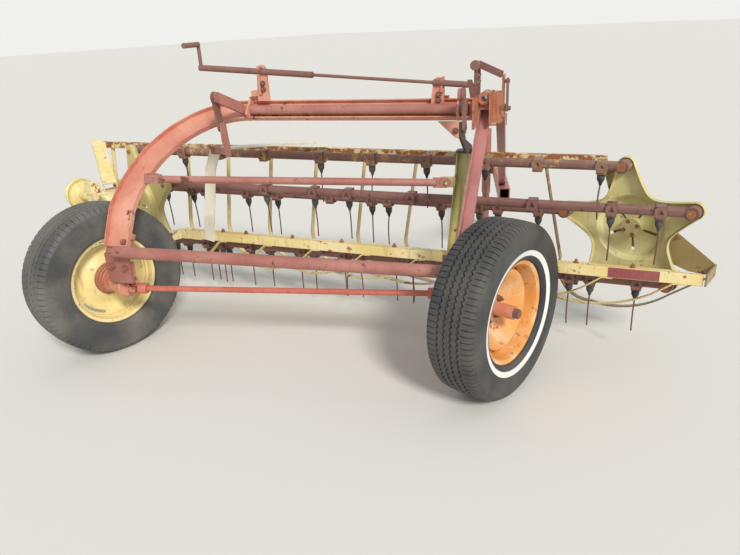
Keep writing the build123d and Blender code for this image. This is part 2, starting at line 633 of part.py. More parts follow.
with BuildPart() as left_lift_bracket:
    link_u = LEVERS[0][2] - link_offset
    plate_u = link_u + LINK_THICK / 2 + LINK_GAP
    with BuildSketch(Plane(origin=over(plate_u, 0, 0), x_dir=FRAME_SIDE, z_dir=FRAME_WAY)):
        Polygon(
            (LIFT_PIN_V - 20, LIFT_PIN_Z + 21), (LIFT_PIN_V + 18, LIFT_PIN_Z + 21), (LIFT_PIN_V + 30, 930),
            (LIFT_PIN_V + 30, 885), (LIFT_PIN_V, 885), (LIFT_PIN_V - 20, 960), align=None,
        )
    extrude(amount=9)
    pin = over(link_u, LIFT_PIN_V, LIFT_PIN_Z)
    rod(pin - FRAME_WAY * 9, pin + FRAME_WAY * 9, LIFT_PIN_RADIUS)
    bar(over(plate_u + 4, LIFT_PIN_V + 15, 905), top - UP * 6 - ACROSS * 8, 30, 10, UP)
    block(top - ACROSS * 8 - UP * 10, ALONG, (50, 10, 36))
    add(left_upright.part, mode=Mode.SUBTRACT)
save(left_lift_bracket, "left_lift_bracket")

UPRIGHT_WIDTH = 52
UPRIGHT_DEPTH = 28
UPRIGHT_WALL = 5
UPRIGHT_TOP = 880
with BuildPart() as right_upright:
    low = along(632, ANGLE_V - UPRIGHT_DEPTH / 2, ANGLE_TOP - ANGLE_FACE)
    top = along(682, ANGLE_V - UPRIGHT_DEPTH / 2, UPRIGHT_TOP)
    rise = (top - low).normalized()
    bar(low, top + rise * 20, UPRIGHT_WIDTH, UPRIGHT_DEPTH, ALONG)
    back = -ACROSS * UPRIGHT_WALL
    bar(
        low + back - rise * 20, top + back + rise * 40, UPRIGHT_WIDTH - 2 * UPRIGHT_WALL, UPRIGHT_DEPTH, ALONG,
        mode=Mode.SUBTRACT,
    )
    lug = radius_end + radius_axis * 14
    bar(lug - radius_way * 20, lug + radius_way * 40, 10, 44, radius_axis)
    wall = low + rise * ((lug.Z - low.Z) / rise.Z) - ALONG * (UPRIGHT_WIDTH - UPRIGHT_WALL) / 2
    bar(lug + radius_way * 34, wall, 40, 10, UP)
    radius_pin = radius_end + radius_way * RADIUS_PLAY
    rod(radius_pin - radius_axis * 14, radius_pin + radius_axis * 14, RADIUS_PIN)
    block(top + UP * 50, ALONG, (200, 200, 100), mode=Mode.SUBTRACT)
save(right_upright, "right_upright")

with BuildPart() as right_lift_bracket:
    link_u = LEVERS[1][2] + link_offset
    plate_u = link_u - LINK_THICK / 2 - LINK_GAP
    block(top + UP * 6 + ALONG * 8, ALONG, (70, 44, 12))
    with BuildSketch(Plane(origin=over(plate_u - 10, 0, 0), x_dir=FRAME_SIDE, z_dir=FRAME_WAY)):
        Polygon(
            (LIFT_PIN_V - 20, LIFT_PIN_Z + 21), (LIFT_PIN_V + 18, LIFT_PIN_Z + 21), (300, 958), (446, 908),
            (446, UPRIGHT_TOP), (330, 896), (LIFT_PIN_V - 20, 980), align=None,
        )
    extrude(amount=10)
    pin = over(link_u, LIFT_PIN_V, LIFT_PIN_Z)
    rod(pin - FRAME_WAY * 9, pin + FRAME_WAY * 9, LIFT_PIN_RADIUS)
save(right_lift_bracket, "right_lift_bracket")

# Strippers: bent bands in planes across the travel, one between each pair of tine stations
reel_v = REEL_Y * cos(radians(HEADING)) - REEL_X * sin(radians(HEADING))
reel_u = REEL_X * cos(radians(HEADING)) + REEL_Y * sin(radians(HEADING))
middle_u = reel_u - BAR_LENGTH / 2
strip_low = ANGLE_TOP - ANGLE_FACE - STRIP_WALL / 2 - REEL_Z
for row, group in enumerate(("left", "middle", "right")):
    with BuildPart() as strippers:
        for number in range(row * STRIP_COUNT // 3, (row + 1) * STRIP_COUNT // 3):
            offset_u = (number - STRIP_COUNT / 2) * STATION_PITCH + STATION_SHIFT
            middle = along(middle_u + offset_u, reel_v, REEL_Z)
            side_face = Plane(origin=middle + Vector(0, STRIP_WIDTH / 2, 0), x_dir=(1, 0, 0), z_dir=(0, -1, 0))
            with BuildSketch(side_face):
                with BuildLine():
                    tab = Line((STRIP_TOP[0] - STRIP_TAB, STRIP_TOP[1]), STRIP_TOP)
                    down = Line(tab @ 1, STRIP_KNEE)
                    heel = ThreePointArc(down @ 1, STRIP_HEEL, STRIP_FLOOR_LEFT)
                    floor = Line(heel @ 1, STRIP_FLOOR_RIGHT)
                    curve = ThreePointArc(floor @ 1, STRIP_CURVE, STRIP_SLOPE)
                    rise = Line(curve @ 1, (STRIP_RIGHT, strip_low))
                    Line(rise @ 1, (STRIP_RIGHT + STRIP_TAB, strip_low))
                    offset(amount=STRIP_WALL / 2, side=Side.BOTH, mode=Mode.REPLACE)
                make_face()
            extrude(amount=STRIP_WIDTH)
        block(along(0, ANGLE_V - 100, REEL_Z), ALONG, (4000, 200, 1000), mode=Mode.SUBTRACT)
    save(strippers, f"strippers_{group}")

# End plate in front of the right star, with the bearing of the right head
END_PLATE_Y = 1064
END_PLATE = 6
BEARING_REACH = 22
HOOP_TOP = (-422, 268)
HOOP_KNEE = (-312, -206)
HOOP_HEEL = (-268, -352)
HOOP_FLOOR_LEFT = (-150, -388)
HOOP_CURVE = (40, -364)
HOOP_SLOPE = (180, -276)
HOOP_END = (337, -150)
with BuildPart() as right_end_plate:
    with BuildSketch(Plane(origin=ground(0, END_PLATE_Y, 0), x_dir=(1, 0, 0), z_dir=(0, -1, 0))):
        Polygon(
            (1424, 378), (1424, 428), (1165, 605), (1030, 700), (986, 786), (930, 786), (990, 620), (1020, 460),
            (1150, 430), (1330, 378), align=None,
        )
        with Locations((REEL_X, REEL_Z)):
            Circle(92)
    extrude(amount=-END_PLATE)
    with Locations(Plane(origin=ground(REEL_X, END_PLATE_Y + END_PLATE / 2, REEL_Z), z_dir=(0, 1, 0))):
        Cylinder(34, BEARING_REACH, align=(Align.CENTER, Align.CENTER, Align.MIN))
        Cylinder(HEAD_SHAFT_RADIUS + RUNNING_FIT, 100, mode=Mode.SUBTRACT)
    hoop_face = Plane(origin=ground(REEL_X, END_PLATE_Y, REEL_Z), x_dir=(1, 0, 0), z_dir=(0, -1, 0))
    with BuildSketch(hoop_face):
        with BuildLine():
            side = Line(HOOP_TOP, HOOP_KNEE)
            heel = ThreePointArc(side @ 1, HOOP_HEEL, HOOP_FLOOR_LEFT)
            curve = ThreePointArc(heel @ 1, HOOP_CURVE, HOOP_SLOPE)
            Line(curve @ 1, HOOP_END)
            offset(amount=STRIP_WALL / 2, side=Side.BOTH, mode=Mode.REPLACE)
        make_face()
    extrude(amount=STRIP_WIDTH)
    right_corner = along(ANGLE_RIGHT, ANGLE_V, 0)
    corner_y = right_corner.Y + MIDDLE_Y
    tail = END_PLATE_Y + END_PLATE - corner_y + 6
    block(ground(1427, corner_y - 6 + tail / 2, 403), Vector(1, 0, 0), (6, tail, 50))
save(right_end_plate, "right_end_plate")

# Left end: gearbox on the rear angle, its pulley, and the channel up to the top rail
GEARBOX_X = -1305
GEARBOX_Y = -30
GEARBOX_Z = 560
GEARBOX_SIZE = (210, 150, 130)
with BuildPart() as gearbox:
    block(ground(GEARBOX_X, GEARBOX_Y, GEARBOX_Z), Vector(1, 0, 0), GEARBOX_SIZE)
    fillet(gearbox.edges().filter_by(Axis.Y), 28)
    rod(ground(-1287, 40, REEL_Z), ground(-1287, 72, REEL_Z), 36)
    rod(ground(-1405, -70, 590), ground(-1470, -70, 590), 30)
    block(ground(-1380, -82, 646), Vector(1, 0, 0), (58, 56, 56))
    foot_top = GEARBOX_Z - GEARBOX_SIZE[2] / 2 + 4
    block(along(-1236, 462, (ANGLE_TOP + foot_top) / 2), ALONG, (110, 40, foot_top - ANGLE_TOP))
    rod(ground(-1287, -20, REEL_Z), ground(-1287, 90, REEL_Z), HEAD_SHAFT_RADIUS + RUNNING_FIT, mode=Mode.SUBTRACT)
    rod(ground(-1430, -70, 590), ground(-1480, -70, 590), 14 + RUNNING_FIT, mode=Mode.SUBTRACT)
save(gearbox, "gearbox")

with BuildPart() as drive_pulley:
    with BuildSketch(Plane(origin=ground(-1478, -70, 590), x_dir=(0, 0, 1), z_dir=(0, -1, 0))):
        with BuildLine():
            Polyline(
                (0, -44), (14, -44), (14, 4), (30, 4), (30, 44), (68, 60), (84, 56), (84, 64), (72, 74),
                (84, 84), (84, 92), (66, 88), (24, 70), (0, 70), close=True,
            )
        make_face()
    revolve(axis=Axis(ground(-1478, -70, 590), (1, 0, 0)))
save(drive_pulley, "drive_pulley")

with BuildPart() as left_end_frame:
    high = ground(-1740, 178, 806)
    low_end = ground(-1300, -20, 650)
    way = (low_end - high).normalized()
    across_face = way.cross(UP).normalized()
    bar(high - way * 20, low_end, 72, 44, across_face)
    drop = way.cross(across_face)
    if drop.Z > 0:
        drop = -drop
    bar(high + drop * 6 - way * 70, low_end + drop * 6 + way * 10, 60, 44, across_face, mode=Mode.SUBTRACT)
    cut = along(RAIL_LEFT, RAIL_V + 200, 800)
    block(cut, ALONG, (900, 400, 400), mode=Mode.SUBTRACT)
    block(ground(GEARBOX_X, GEARBOX_Y, GEARBOX_Z - 35), Vector(1, 0, 0), (400, 400, 200), mode=Mode.SUBTRACT)
save(left_end_frame, "left_end_frame")

# Arm that carries the rear angle on round the left star to the gearbox's foot
ARM_THICK = 10
arm_z = ANGLE_TOP - ANGLE_FACE / 2
angle_face = ANGLE_V - ARM_THICK / 2
arm_route = (
    along(ANGLE_LEFT + 120, angle_face, arm_z),
    along(ANGLE_LEFT - 6, angle_face, arm_z),
    ground(-958, 92, arm_z),
    ground(-1210, 40, arm_z),
    ground(-1372, 40, arm_z),
)
with BuildPart() as left_end_arm:
    for start, end in zip(arm_route, arm_route[1:]):
        bar(start, end, ARM_THICK, ANGLE_FACE, (end - start).cross(UP))
    for corner in arm_route[1:-1]:
        rod(corner - UP * ANGLE_FACE / 2, corner + UP * ANGLE_FACE / 2, ARM_THICK / 2)
save(left_end_arm, "left_end_arm")

# Star heads: pressed sheet with a flanged edge; each runs beyond the ends of the bars
HEADS = (
    # name, x, y, direction away from the bars
    ("left", REEL_X - BAR_LENGTH * cos(radians(HEADING)), REEL_Y - BAR_LENGTH * sin(radians(HEADING)), -1),
    ("right", REEL_X, REEL_Y, 1),
)
WEB_REACH = STAR_BEHIND_EYE + STAR_FLANGE
SHAFT_REACH = {"left": 190, "right": 118}
pin_angles = [FIRST_BAR_ANGLE - 360 / BAR_COUNT * number for number in range(BAR_COUNT)]

for side, head_x, head_y, away in HEADS:
    centre = ground(head_x, head_y, REEL_Z)
    face = Plane(origin=centre, x_dir=(1, 0, 0), z_dir=(0, -1, 0))
    with BuildPart() as star:
        with BuildSketch(face.offset(-away * (WEB_REACH - STAR_FLANGE))) as outline:
            Circle(STAR_CORE_RADIUS)
            for angle in pin_angles:
                with Locations((REEL_RADIUS * cos(radians(angle)), REEL_RADIUS * sin(radians(angle)))):
                    Circle(ARM_TIP_RADIUS)
                with Locations(Rotation(0, 0, angle)):
                    Polygon(
                        (60, -ARM_ROOT_RADIUS), (REEL_RADIUS, -ARM_TIP_RADIUS),
                        (REEL_RADIUS, ARM_TIP_RADIUS), (60, ARM_ROOT_RADIUS), align=None,
                    )
        extrude(amount=-away * STAR_FLANGE)
        with BuildSketch(face.offset(-away * (WEB_REACH - STAR_FLANGE))):
            add(outline.sketch_local)
            offset(amount=-STAR_SHEET, mode=Mode.REPLACE)
        extrude(amount=-away * (STAR_FLANGE - STAR_SHEET), mode=Mode.SUBTRACT)
        with BuildSketch(Plane(origin=centre, x_dir=(1, 0, 0), z_dir=(0, 0, 1))):
            web = WEB_REACH
            deep = WEB_REACH + DISH_DEPTH
            with BuildLine():
                Polyline(
                    *[
                        (radius, away * reach)
                        for radius, reach in (
                            (DISH_RADIUS, web - STAR_SHEET - 2), (DISH_RADIUS, web), (DISH_FLOOR_RADIUS, deep),
                            (0, deep), (0, web - STAR_SHEET - 2),
                        )
                    ],
                    close=True,
                )
            make_face()
        revolve(axis=Axis(centre, (0, 1, 0)))
        with BuildSketch(Plane(origin=centre, x_dir=(1, 0, 0), z_dir=(0, 0, 1))):
            with BuildLine():
                Polyline(
                    *[
                        (radius, away * reach)
                        for radius, reach in (
                            (DISH_RADIUS - 4, web - STAR_SHEET - 3), (DISH_RADIUS - 4, web - STAR_SHEET),
                            (DISH_FLOOR_RADIUS - 2, deep - STAR_SHEET), (0, deep - STAR_SHEET),
                            (0, web - STAR_SHEET - 3),
                        )
                    ],
                    close=True,
                )
            make_face()
        revolve(axis=Axis(centre, (0, 1, 0)), mode=Mode.SUBTRACT)
        with Locations(Plane(origin=centre, z_dir=(0, away, 0))):
            Cylinder(HEAD_SHAFT_RADIUS, 4 * deep, mode=Mode.SUBTRACT)
        for angle in pin_angles:
            pin = centre + Vector(cos(radians(angle)), 0, sin(radians(angle))) * REEL_RADIUS
            rod(pin, pin + Vector(0, away * 2 * web, 0), PIN_RADIUS, mode=Mode.SUBTRACT)
    save(star, f"{side}_star")

    with BuildPart() as pins:
        hub_face = centre + Vector(0, away * (deep - STAR_SHEET), 0)
        rod(hub_face - Vector(0, away * HEAD_BOSS, 0), hub_face, HEAD_BOSS_RADIUS)
        rod(hub_face, centre + Vector(0, away * SHAFT_REACH[side], 0), HEAD_SHAFT_RADIUS)
        for angle in pin_angles:
            pin = centre + Vector(cos(radians(angle)), 0, sin(radians(angle))) * REEL_RADIUS
            rod(pin - Vector(0, away * PIN_REACH, 0), pin + Vector(0, away * (web + 8), 0), PIN_RADIUS)
            rod(pin + Vector(0, away * 28, 0), pin + Vector(0, away * (web - STAR_SHEET), 0), 20)
            rod(pin - Vector(0, away * (PIN_REACH + 6), 0), pin - Vector(0, away * 28, 0), 17)
    save(pins, f"{side}_head_pins")

# Bars: each is a tube with an eye at either end, and carries its tine stations
# Stations from the left end: two teeth, the left or right tooth only, an empty clamp, or nothing
STATIONS = (
    "RCCRRR2CL",
    "CRRLCLCRL",
    "2LC2R2C2L",
    "22R2L22RC",
    "R2RLC2R2L",
)
for number, angle in enumerate(pin_angles):
    drop = Vector(cos(radians(angle)), 0, sin(radians(angle))) * REEL_RADIUS
    right_eye = ground(HEADS[1][1], HEADS[1][2], REEL_Z) + drop
    left_eye = ground(HEADS[0][1], HEADS[0][2], REEL_Z) + drop
    with BuildPart() as tube:
        rod(left_eye, right_eye, BAR_RADIUS)
        rod(left_eye + ALONG * 40, right_eye - ALONG * 40, BAR_RADIUS - BAR_WALL, mode=Mode.SUBTRACT)
        for eye, bore in ((left_eye, PIN_RADIUS + LEFT_PIN_GAP), (right_eye, PIN_RADIUS + RUNNING_FIT)):
            half = Vector(0, BAR_EYE_WIDTH / 2, 0)
            rod(eye - half, eye + half, BAR_EYE_RADIUS)
        for eye, bore in ((left_eye, PIN_RADIUS + LEFT_PIN_GAP), (right_eye, PIN_RADIUS + RUNNING_FIT)):
            rod(eye - half * 2, eye + half * 2, bore, mode=Mode.SUBTRACT)
    save(tube, f"bar_{number + 1}")

    with BuildPart() as tines:
        for station, kind in enumerate(STATIONS[number]):
            if kind == "-":
                continue
            shift = (station - (STATION_COUNT - 1) / 2) * STATION_PITCH + STATION_SHIFT
            place = (left_eye + right_eye) * 0.5 + ALONG * shift
            block(place - UP * CLAMP_FOOT / 2, ALONG, (CLAMP_WIDTH, CLAMP_SIZE, CLAMP_SIZE + CLAMP_FOOT))
            block(place, ALONG, (2 * CLAMP_WIDTH, 2 * BAR_RADIUS, 2 * BAR_RADIUS), mode=Mode.SUBTRACT)
            foot = place - UP * (CLAMP_SIZE / 2 + CLAMP_FOOT)
            sides = {"2": (-1, 1), "L": (-1,), "R": (1,), "C": ()}[kind]
            for way in sides:
                shoulder = foot + ALONG * way * TINE_HALF_GAP
                block(shoulder + UP * 3 - ALONG * way * TINE_HALF_GAP / 2, ALONG, (TINE_HALF_GAP + 24, 20, 6))
                with BuildSketch(Plane(origin=shoulder, x_dir=ALONG, z_dir=(0, 0, -1))):
                    RegularPolygon(FUNNEL_TOP, 6)
                extrude(amount=FUNNEL_LENGTH, taper=FUNNEL_TAPER)
                with BuildSketch(Plane(origin=shoulder - UP * (FUNNEL_LENGTH - 6), x_dir=ALONG, z_dir=(0, 0, -1))):
                    RegularPolygon(TINE_RADIUS, 5)
                extrude(amount=TINE_REACH - FUNNEL_LENGTH + 6 - CLAMP_SIZE / 2 - CLAMP_FOOT)
    save(tines, f"tines_{number + 1}")
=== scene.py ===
import json
import math
import bmesh
import bpy
import numpy as np
from mathutils import Matrix

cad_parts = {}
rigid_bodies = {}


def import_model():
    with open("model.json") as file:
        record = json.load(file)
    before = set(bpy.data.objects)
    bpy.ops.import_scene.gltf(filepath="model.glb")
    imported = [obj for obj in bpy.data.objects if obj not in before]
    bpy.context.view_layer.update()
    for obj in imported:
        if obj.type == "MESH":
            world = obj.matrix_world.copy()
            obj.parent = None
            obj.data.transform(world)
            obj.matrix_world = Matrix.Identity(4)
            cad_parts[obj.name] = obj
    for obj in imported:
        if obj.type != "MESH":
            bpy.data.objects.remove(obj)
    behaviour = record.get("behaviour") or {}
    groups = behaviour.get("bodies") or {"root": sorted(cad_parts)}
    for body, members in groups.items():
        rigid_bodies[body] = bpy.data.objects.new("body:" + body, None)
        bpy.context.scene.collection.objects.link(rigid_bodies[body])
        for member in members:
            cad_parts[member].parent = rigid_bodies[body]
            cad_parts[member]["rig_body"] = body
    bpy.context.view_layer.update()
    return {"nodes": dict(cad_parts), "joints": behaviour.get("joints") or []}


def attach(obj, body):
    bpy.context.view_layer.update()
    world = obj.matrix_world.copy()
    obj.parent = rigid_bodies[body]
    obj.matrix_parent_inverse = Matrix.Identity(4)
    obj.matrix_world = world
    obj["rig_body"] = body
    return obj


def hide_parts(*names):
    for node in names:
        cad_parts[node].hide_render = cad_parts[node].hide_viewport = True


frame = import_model()
nodes = frame["nodes"]
joints = {joint["name"]: joint for joint in frame["joints"]}


# Camera: stands behind the machine and to its right, a little above head height of the reel,
# and looks forward and down. Its place and turn are real ones, in the machine's own frame.
CAMERA_PLACE = (2.100, -2.518, 1.410)
CAMERA_LENS = 30.5
CAMERA_DOWN = math.radians(22.33)
CAMERA_ROLL = math.radians(-3.04)
CAMERA_HEADING = np.array([-0.6626, 0.7490, 0.0])

level_right = np.array([CAMERA_HEADING[1], -CAMERA_HEADING[0], 0.0])
looking = CAMERA_HEADING * math.cos(CAMERA_DOWN) - np.array([0.0, 0.0, math.sin(CAMERA_DOWN)])
level_up = np.cross(level_right, looking)
camera_right = level_right * math.cos(CAMERA_ROLL) + level_up * math.sin(CAMERA_ROLL)
camera_up = level_up * math.cos(CAMERA_ROLL) - level_right * math.sin(CAMERA_ROLL)
lens = bpy.data.cameras.new("camera")
lens.lens = CAMERA_LENS
lens.sensor_width = 36
lens.clip_end = 200
camera = bpy.data.objects.new("camera", lens)
turned_to = np.eye(4)
turned_to[:3, 0] = camera_right
turned_to[:3, 1] = camera_up
turned_to[:3, 2] = -looking
turned_to[:3, 3] = CAMERA_PLACE
camera.matrix_world = Matrix(turned_to.tolist())
bpy.context.scene.collection.objects.link(camera)
bpy.context.scene.camera = camera


# Tyres: two old road tyres, black rubber gone grey with dust. The right one has wavy ribs and
# a thin white ring on its wall, the left one coarse shoulder blocks and a plain wall.
TYRE_RADIUS = 0.352
WAVE_STEPS = np.array([0.0, 0.02, 0.14, 0.16, 0.5, 0.75])
GROOVE_HALF = 0.0040
GROOVE_FLOOR_HALF = 0.0024
GROOVE_DEPTH = 0.007
CROWN_DROP = 0.004
SLIT_DEPTH = 0.005
TREAD_EDGE = 0.072
WALL_POINTS = (
    # reach from the middle, radius, on the white ring
    (0.0825, 0.3460, 0), (0.0925, 0.3380, 0), (0.0985, 0.3250, 0), (0.1000, 0.3240, 0), (0.1010, 0.3100, 0),
    (0.1022, 0.2990, 0), (0.1025, 0.2800, 0), (0.1012, 0.2620, 0), (0.1000, 0.2480, 1), (0.0975, 0.2380, 1),
    (0.0945, 0.2270, 0), (0.0950, 0.2260, 0), (0.0900, 0.2160, 0), (0.0840, 0.2090, 0), (0.0750, 0.2075, 0),
    (0.0700, 0.2060, 0), (0.0695, 0.1930, 0),
)
TYRES = (
    # side, outward, waves around, wave height, grooves from the middle, slit start, white ring
    ("left", -1, 80, 0.0040, (0.018, 0.047), 0.060, False),
    ("right", 1, 96, 0.0055, (0.014, 0.042), 0.050, True),
)


def grid(points, closed_rows=False, closed_columns=False):
    """A grid of points as a shape: each face joins a point to the next in its row and its column."""
    rows, columns = points.shape[:2]
    index = np.arange(rows * columns).reshape(rows, columns)
    if closed_rows:
        index = np.concatenate([index, index[:1]], 0)
    if closed_columns:
        index = np.concatenate([index, index[:, :1]], 1)
    corners = (index[:-1, :-1], index[1:, :-1], index[1:, 1:], index[:-1, 1:])
    return points.reshape(-1, 3), np.stack(corners, -1).reshape(-1, 4)


def piece(name, shapes, materials, body, replaced=(), crease=32, closed=True):
    """Joins shapes (points, faces, and a material number or one for each face) into one object."""
    starts = np.cumsum([0] + [len(shape[0]) for shape in shapes])
    points = np.concatenate([shape[0] for shape in shapes])
    faces = []
    looks = []
    for shape, start in zip(shapes, starts):
        faces += (shape[1] + start).tolist() if isinstance(shape[1], np.ndarray) else [
            [corner + int(start) for corner in face] for face in shape[1]
        ]
        look = shape[2] if len(shape) > 2 else 0
        looks += list(look) if isinstance(look, (list, np.ndarray)) else [look] * len(shape[1])
    mesh = bpy.data.meshes.new(name)
    mesh.from_pydata(points.tolist(), [], faces)
    for material in materials:
        mesh.materials.append(material)
    mesh.polygons.foreach_set("material_index", np.array(looks, dtype=np.int32))
    work = bmesh.new()
    work.from_mesh(mesh)
    bmesh.ops.remove_doubles(work, verts=work.verts, dist=1e-6)
    if closed:
        bmesh.ops.recalc_face_normals(work, faces=work.faces)
    work.to_mesh(mesh)
    work.free()
    mesh.shade_smooth()
    mesh.set_sharp_from_angle(angle=math.radians(crease))
    made = bpy.data.objects.new(name, mesh)
    bpy.context.scene.collection.objects.link(made)
    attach(made, body)
    for node in replaced:
        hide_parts(node)
    return made


def tyre_shape(centre, out, waves, wave_height, grooves, slit_start):
    """A closed ring of sections: radius falls with the square of the reach over the tread, a
    groove dips where the reach is near its middle, and the middle swings with the angle."""
    steps = len(WAVE_STEPS)
    turn = (np.arange(waves)[:, None] + WAVE_STEPS[None, :]).reshape(-1)
    angle = turn / waves * 2 * math.pi
    phase = turn % 1.0
    swing = wave_height * (4 * np.abs((phase - 0.08) % 1.0 - 0.5) - 1)
    in_slit = np.isin(np.tile(np.arange(steps), waves), (1, 2))
    groove_edges = ((-GROOVE_HALF, 0), (-GROOVE_FLOOR_HALF, 1), (GROOVE_FLOOR_HALF, 1), (GROOVE_HALF, 0))
    reaches, depths, slits = [], [], []
    for side in (-1, 1):
        for groove in (grooves if side > 0 else grooves[::-1]):
            for edge, deep in groove_edges:
                flip = 1 if groove == grooves[0] else -1
                reaches.append(side * groove + edge + flip * swing)
                depths.append(np.full_like(angle, deep * GROOVE_DEPTH))
                slits.append(0 * angle)
        if side < 0:
            reaches.append(0 * angle)
            depths.append(0 * angle)
            slits.append(0 * angle)
    shoulder = [(slit_start + 0.004, 0.2), (slit_start + 0.007, 1.0), (TREAD_EDGE, 1.0)]
    for reach, part in shoulder:
        reaches.insert(0, 0 * angle - reach)
        reaches.append(0 * angle + reach)
        for column in (depths, slits):
            value = 0 * angle if column is depths else in_slit * part * SLIT_DEPTH
            column.insert(0, value)
            column.append(value)
    reach = np.stack(reaches, 1)
    radius = TYRE_RADIUS - CROWN_DROP * (reach / TREAD_EDGE) ** 2 - np.stack(depths, 1) - np.stack(slits, 1)
    wall = np.array(WALL_POINTS)
    wall_reach = np.tile(wall[:, 0], (len(angle), 1))
    wall_radius = np.tile(wall[:, 1], (len(angle), 1))
    wall_radius[:, 0] -= in_slit * SLIT_DEPTH
    wall_radius[:, 1] -= in_slit * SLIT_DEPTH * 0.8
    wall_reach[:, 1] -= in_slit * SLIT_DEPTH * 0.6
    reach = np.concatenate([-wall_reach[:, ::-1], reach, wall_reach], 1)
    radius = np.concatenate([wall_radius[:, ::-1], radius, wall_radius], 1)
    forward = centre[1] + radius * np.cos(angle)[:, None]
    upward = centre[2] + radius * np.sin(angle)[:, None]
    points = np.stack([centre[0] + out * reach, forward, upward], -1)
    columns = reach.shape[1]
    ring = np.zeros(columns, dtype=int)
    ring[columns - len(wall): ] = wall[:, 2]
    shape = grid(points, closed_rows=True, closed_columns=True)
    return shape[0], shape[1], np.tile(ring, len(angle))


def node(tree, kind, inputs=None, **settings):
    """Adds a shader node; each input is a plain value, or a socket of another node to link."""
    made = tree.nodes.new("ShaderNode" + kind)
    for name, value in settings.items():
        setattr(made, name, value)
    for name, value in (inputs or {}).items():
        if isinstance(value, bpy.types.NodeSocket):
            tree.links.new(value, made.inputs[name])
        else:
            made.inputs[name].default_value = value
    return made


def sums(tree, operation, first, second=0.0):
    """What a Math node gives for two values or sockets."""
    return node(tree, "Math", {0: first, 1: second}, operation=operation).outputs[0]


def ramp(tree, value, low, high):
    """Nought below low, one above high, and smooth between them."""
    inputs = {"Value": value, "From Min": low, "From Max": high}
    return node(tree, "MapRange", inputs, interpolation_type="SMOOTHSTEP").outputs["Result"]


def mixed(tree, factor, first, second):
    """A colour from first to second as the factor goes from nought to one."""
    made = node(tree, "Mix", {0: factor, 6: first, 7: second}, data_type="RGBA")
    return made.outputs[2]


def noise(tree, place, scale, detail=4.0, rough=0.55):
    """Cloudy values around a half, at so many clouds to the metre."""
    inputs = {"Vector": place, "Scale": scale, "Detail": detail, "Roughness": rough}
    return node(tree, "TexNoise", inputs).outputs["Fac"]


def shade(red, green, blue):
    """A colour given as 0..255 display values, as the linear light that it stands for."""
    part = np.array([red, green, blue]) / 255
    linear = np.where(part <= 0.04045, part / 12.92, ((part + 0.055) / 1.055) ** 2.4)
    return (*linear.tolist(), 1.0)


def group(name, inputs, outputs):
    """An empty node group; a socket is named, with its kind and its usual value."""
    tree = bpy.data.node_groups.new(name, "ShaderNodeTree")
    for label, kind, value in inputs:
        socket = tree.interface.new_socket(label, in_out="INPUT", socket_type="NodeSocket" + kind)
        socket.default_value = value
    for label, kind in outputs:
        tree.interface.new_socket(label, in_out="OUTPUT", socket_type="NodeSocket" + kind)
    return tree, tree.nodes.new("NodeGroupInput").outputs, tree.nodes.new("NodeGroupOutput").inputs


RUBBER_GROUP, given, result = group(
    "dusty_rubber",
    (
        ("Rubber", "Color", shade(52, 54, 57)), ("Dust", "Color", shade(128, 124, 114)),
        ("Amount", "Float", 0.4), ("Scale", "Float", 5.0),
    ),
    (("Color", "Color"), ("Roughness", "Float"), ("Height", "Float")),
)
place = node(RUBBER_GROUP, "TexCoord").outputs["Object"]
broad = noise(RUBBER_GROUP, place, given["Scale"], 5.0)
fine = noise(RUBBER_GROUP, place, 160.0, 3.0)
grain = sums(RUBBER_GROUP, "MULTIPLY", fine, 0.2)
powder = ramp(RUBBER_GROUP, sums(RUBBER_GROUP, "ADD", broad, grain), 0.42, 0.80)
powder = sums(RUBBER_GROUP, "MULTIPLY", powder, given["Amount"])
colour = mixed(RUBBER_GROUP, powder, given["Rubber"], given["Dust"])
RUBBER_GROUP.links.new(colour, result["Color"])
dulled = sums(RUBBER_GROUP, "ADD", sums(RUBBER_GROUP, "MULTIPLY", powder, 0.5), 0.5)
RUBBER_GROUP.links.new(dulled, result["Roughness"])
RUBBER_GROUP.links.new(fine, result["Height"])


def coat(name, tree, values, bump=0.25, depth=0.0006, sockets=None):
    """A material whose colour, roughness and bump come from a group with its own values."""
    material = bpy.data.materials.new(name)
    material.use_nodes = True
    own = material.node_tree
    shader = own.nodes["Principled BSDF"]
    effect = node(own, "Group", node_tree=tree)
    for label, value in values.items():
        effect.inputs[label].default_value = value
    own.links.new(effect.outputs["Color"], shader.inputs["Base Color"])
    own.links.new(effect.outputs["Roughness"], shader.inputs["Roughness"])
    relief = node(own, "Bump", {"Height": effect.outputs["Height"], "Strength": bump, "Distance": depth})
    own.links.new(relief.outputs["Normal"], shader.inputs["Normal"])
    for label, value in (sockets or {}).items():
        shader.inputs[label].default_value = value
    return material


rubber = coat("tyre_rubber", RUBBER_GROUP, {"Amount": 0.35}, sockets={"Specular IOR Level": 0.35})
worn_rubber = coat("worn_rubber", RUBBER_GROUP, {"Amount": 0.75, "Rubber": shade(66, 68, 70), "Scale": 3.5})
white_band = coat(
    "white_wall", RUBBER_GROUP, {"Rubber": shade(236, 236, 232), "Dust": shade(196, 194, 186), "Amount": 0.4}
)
for side, out, waves, wave_height, grooves, slit_start, banded in TYRES:
    centre = np.array(joints[f"{side}_wheel_spin"]["pos_m"])
    shape = tyre_shape(centre, out, waves, wave_height, grooves, slit_start)
    if not banded:
        shape = (shape[0], shape[1], 0)
    body = rubber if banded else worn_rubber
    piece(
        f"{side}_road_tyre", [shape], [body, white_band], f"{side}_wheel", [f"{side}_tyre"],
        crease=28,
    )


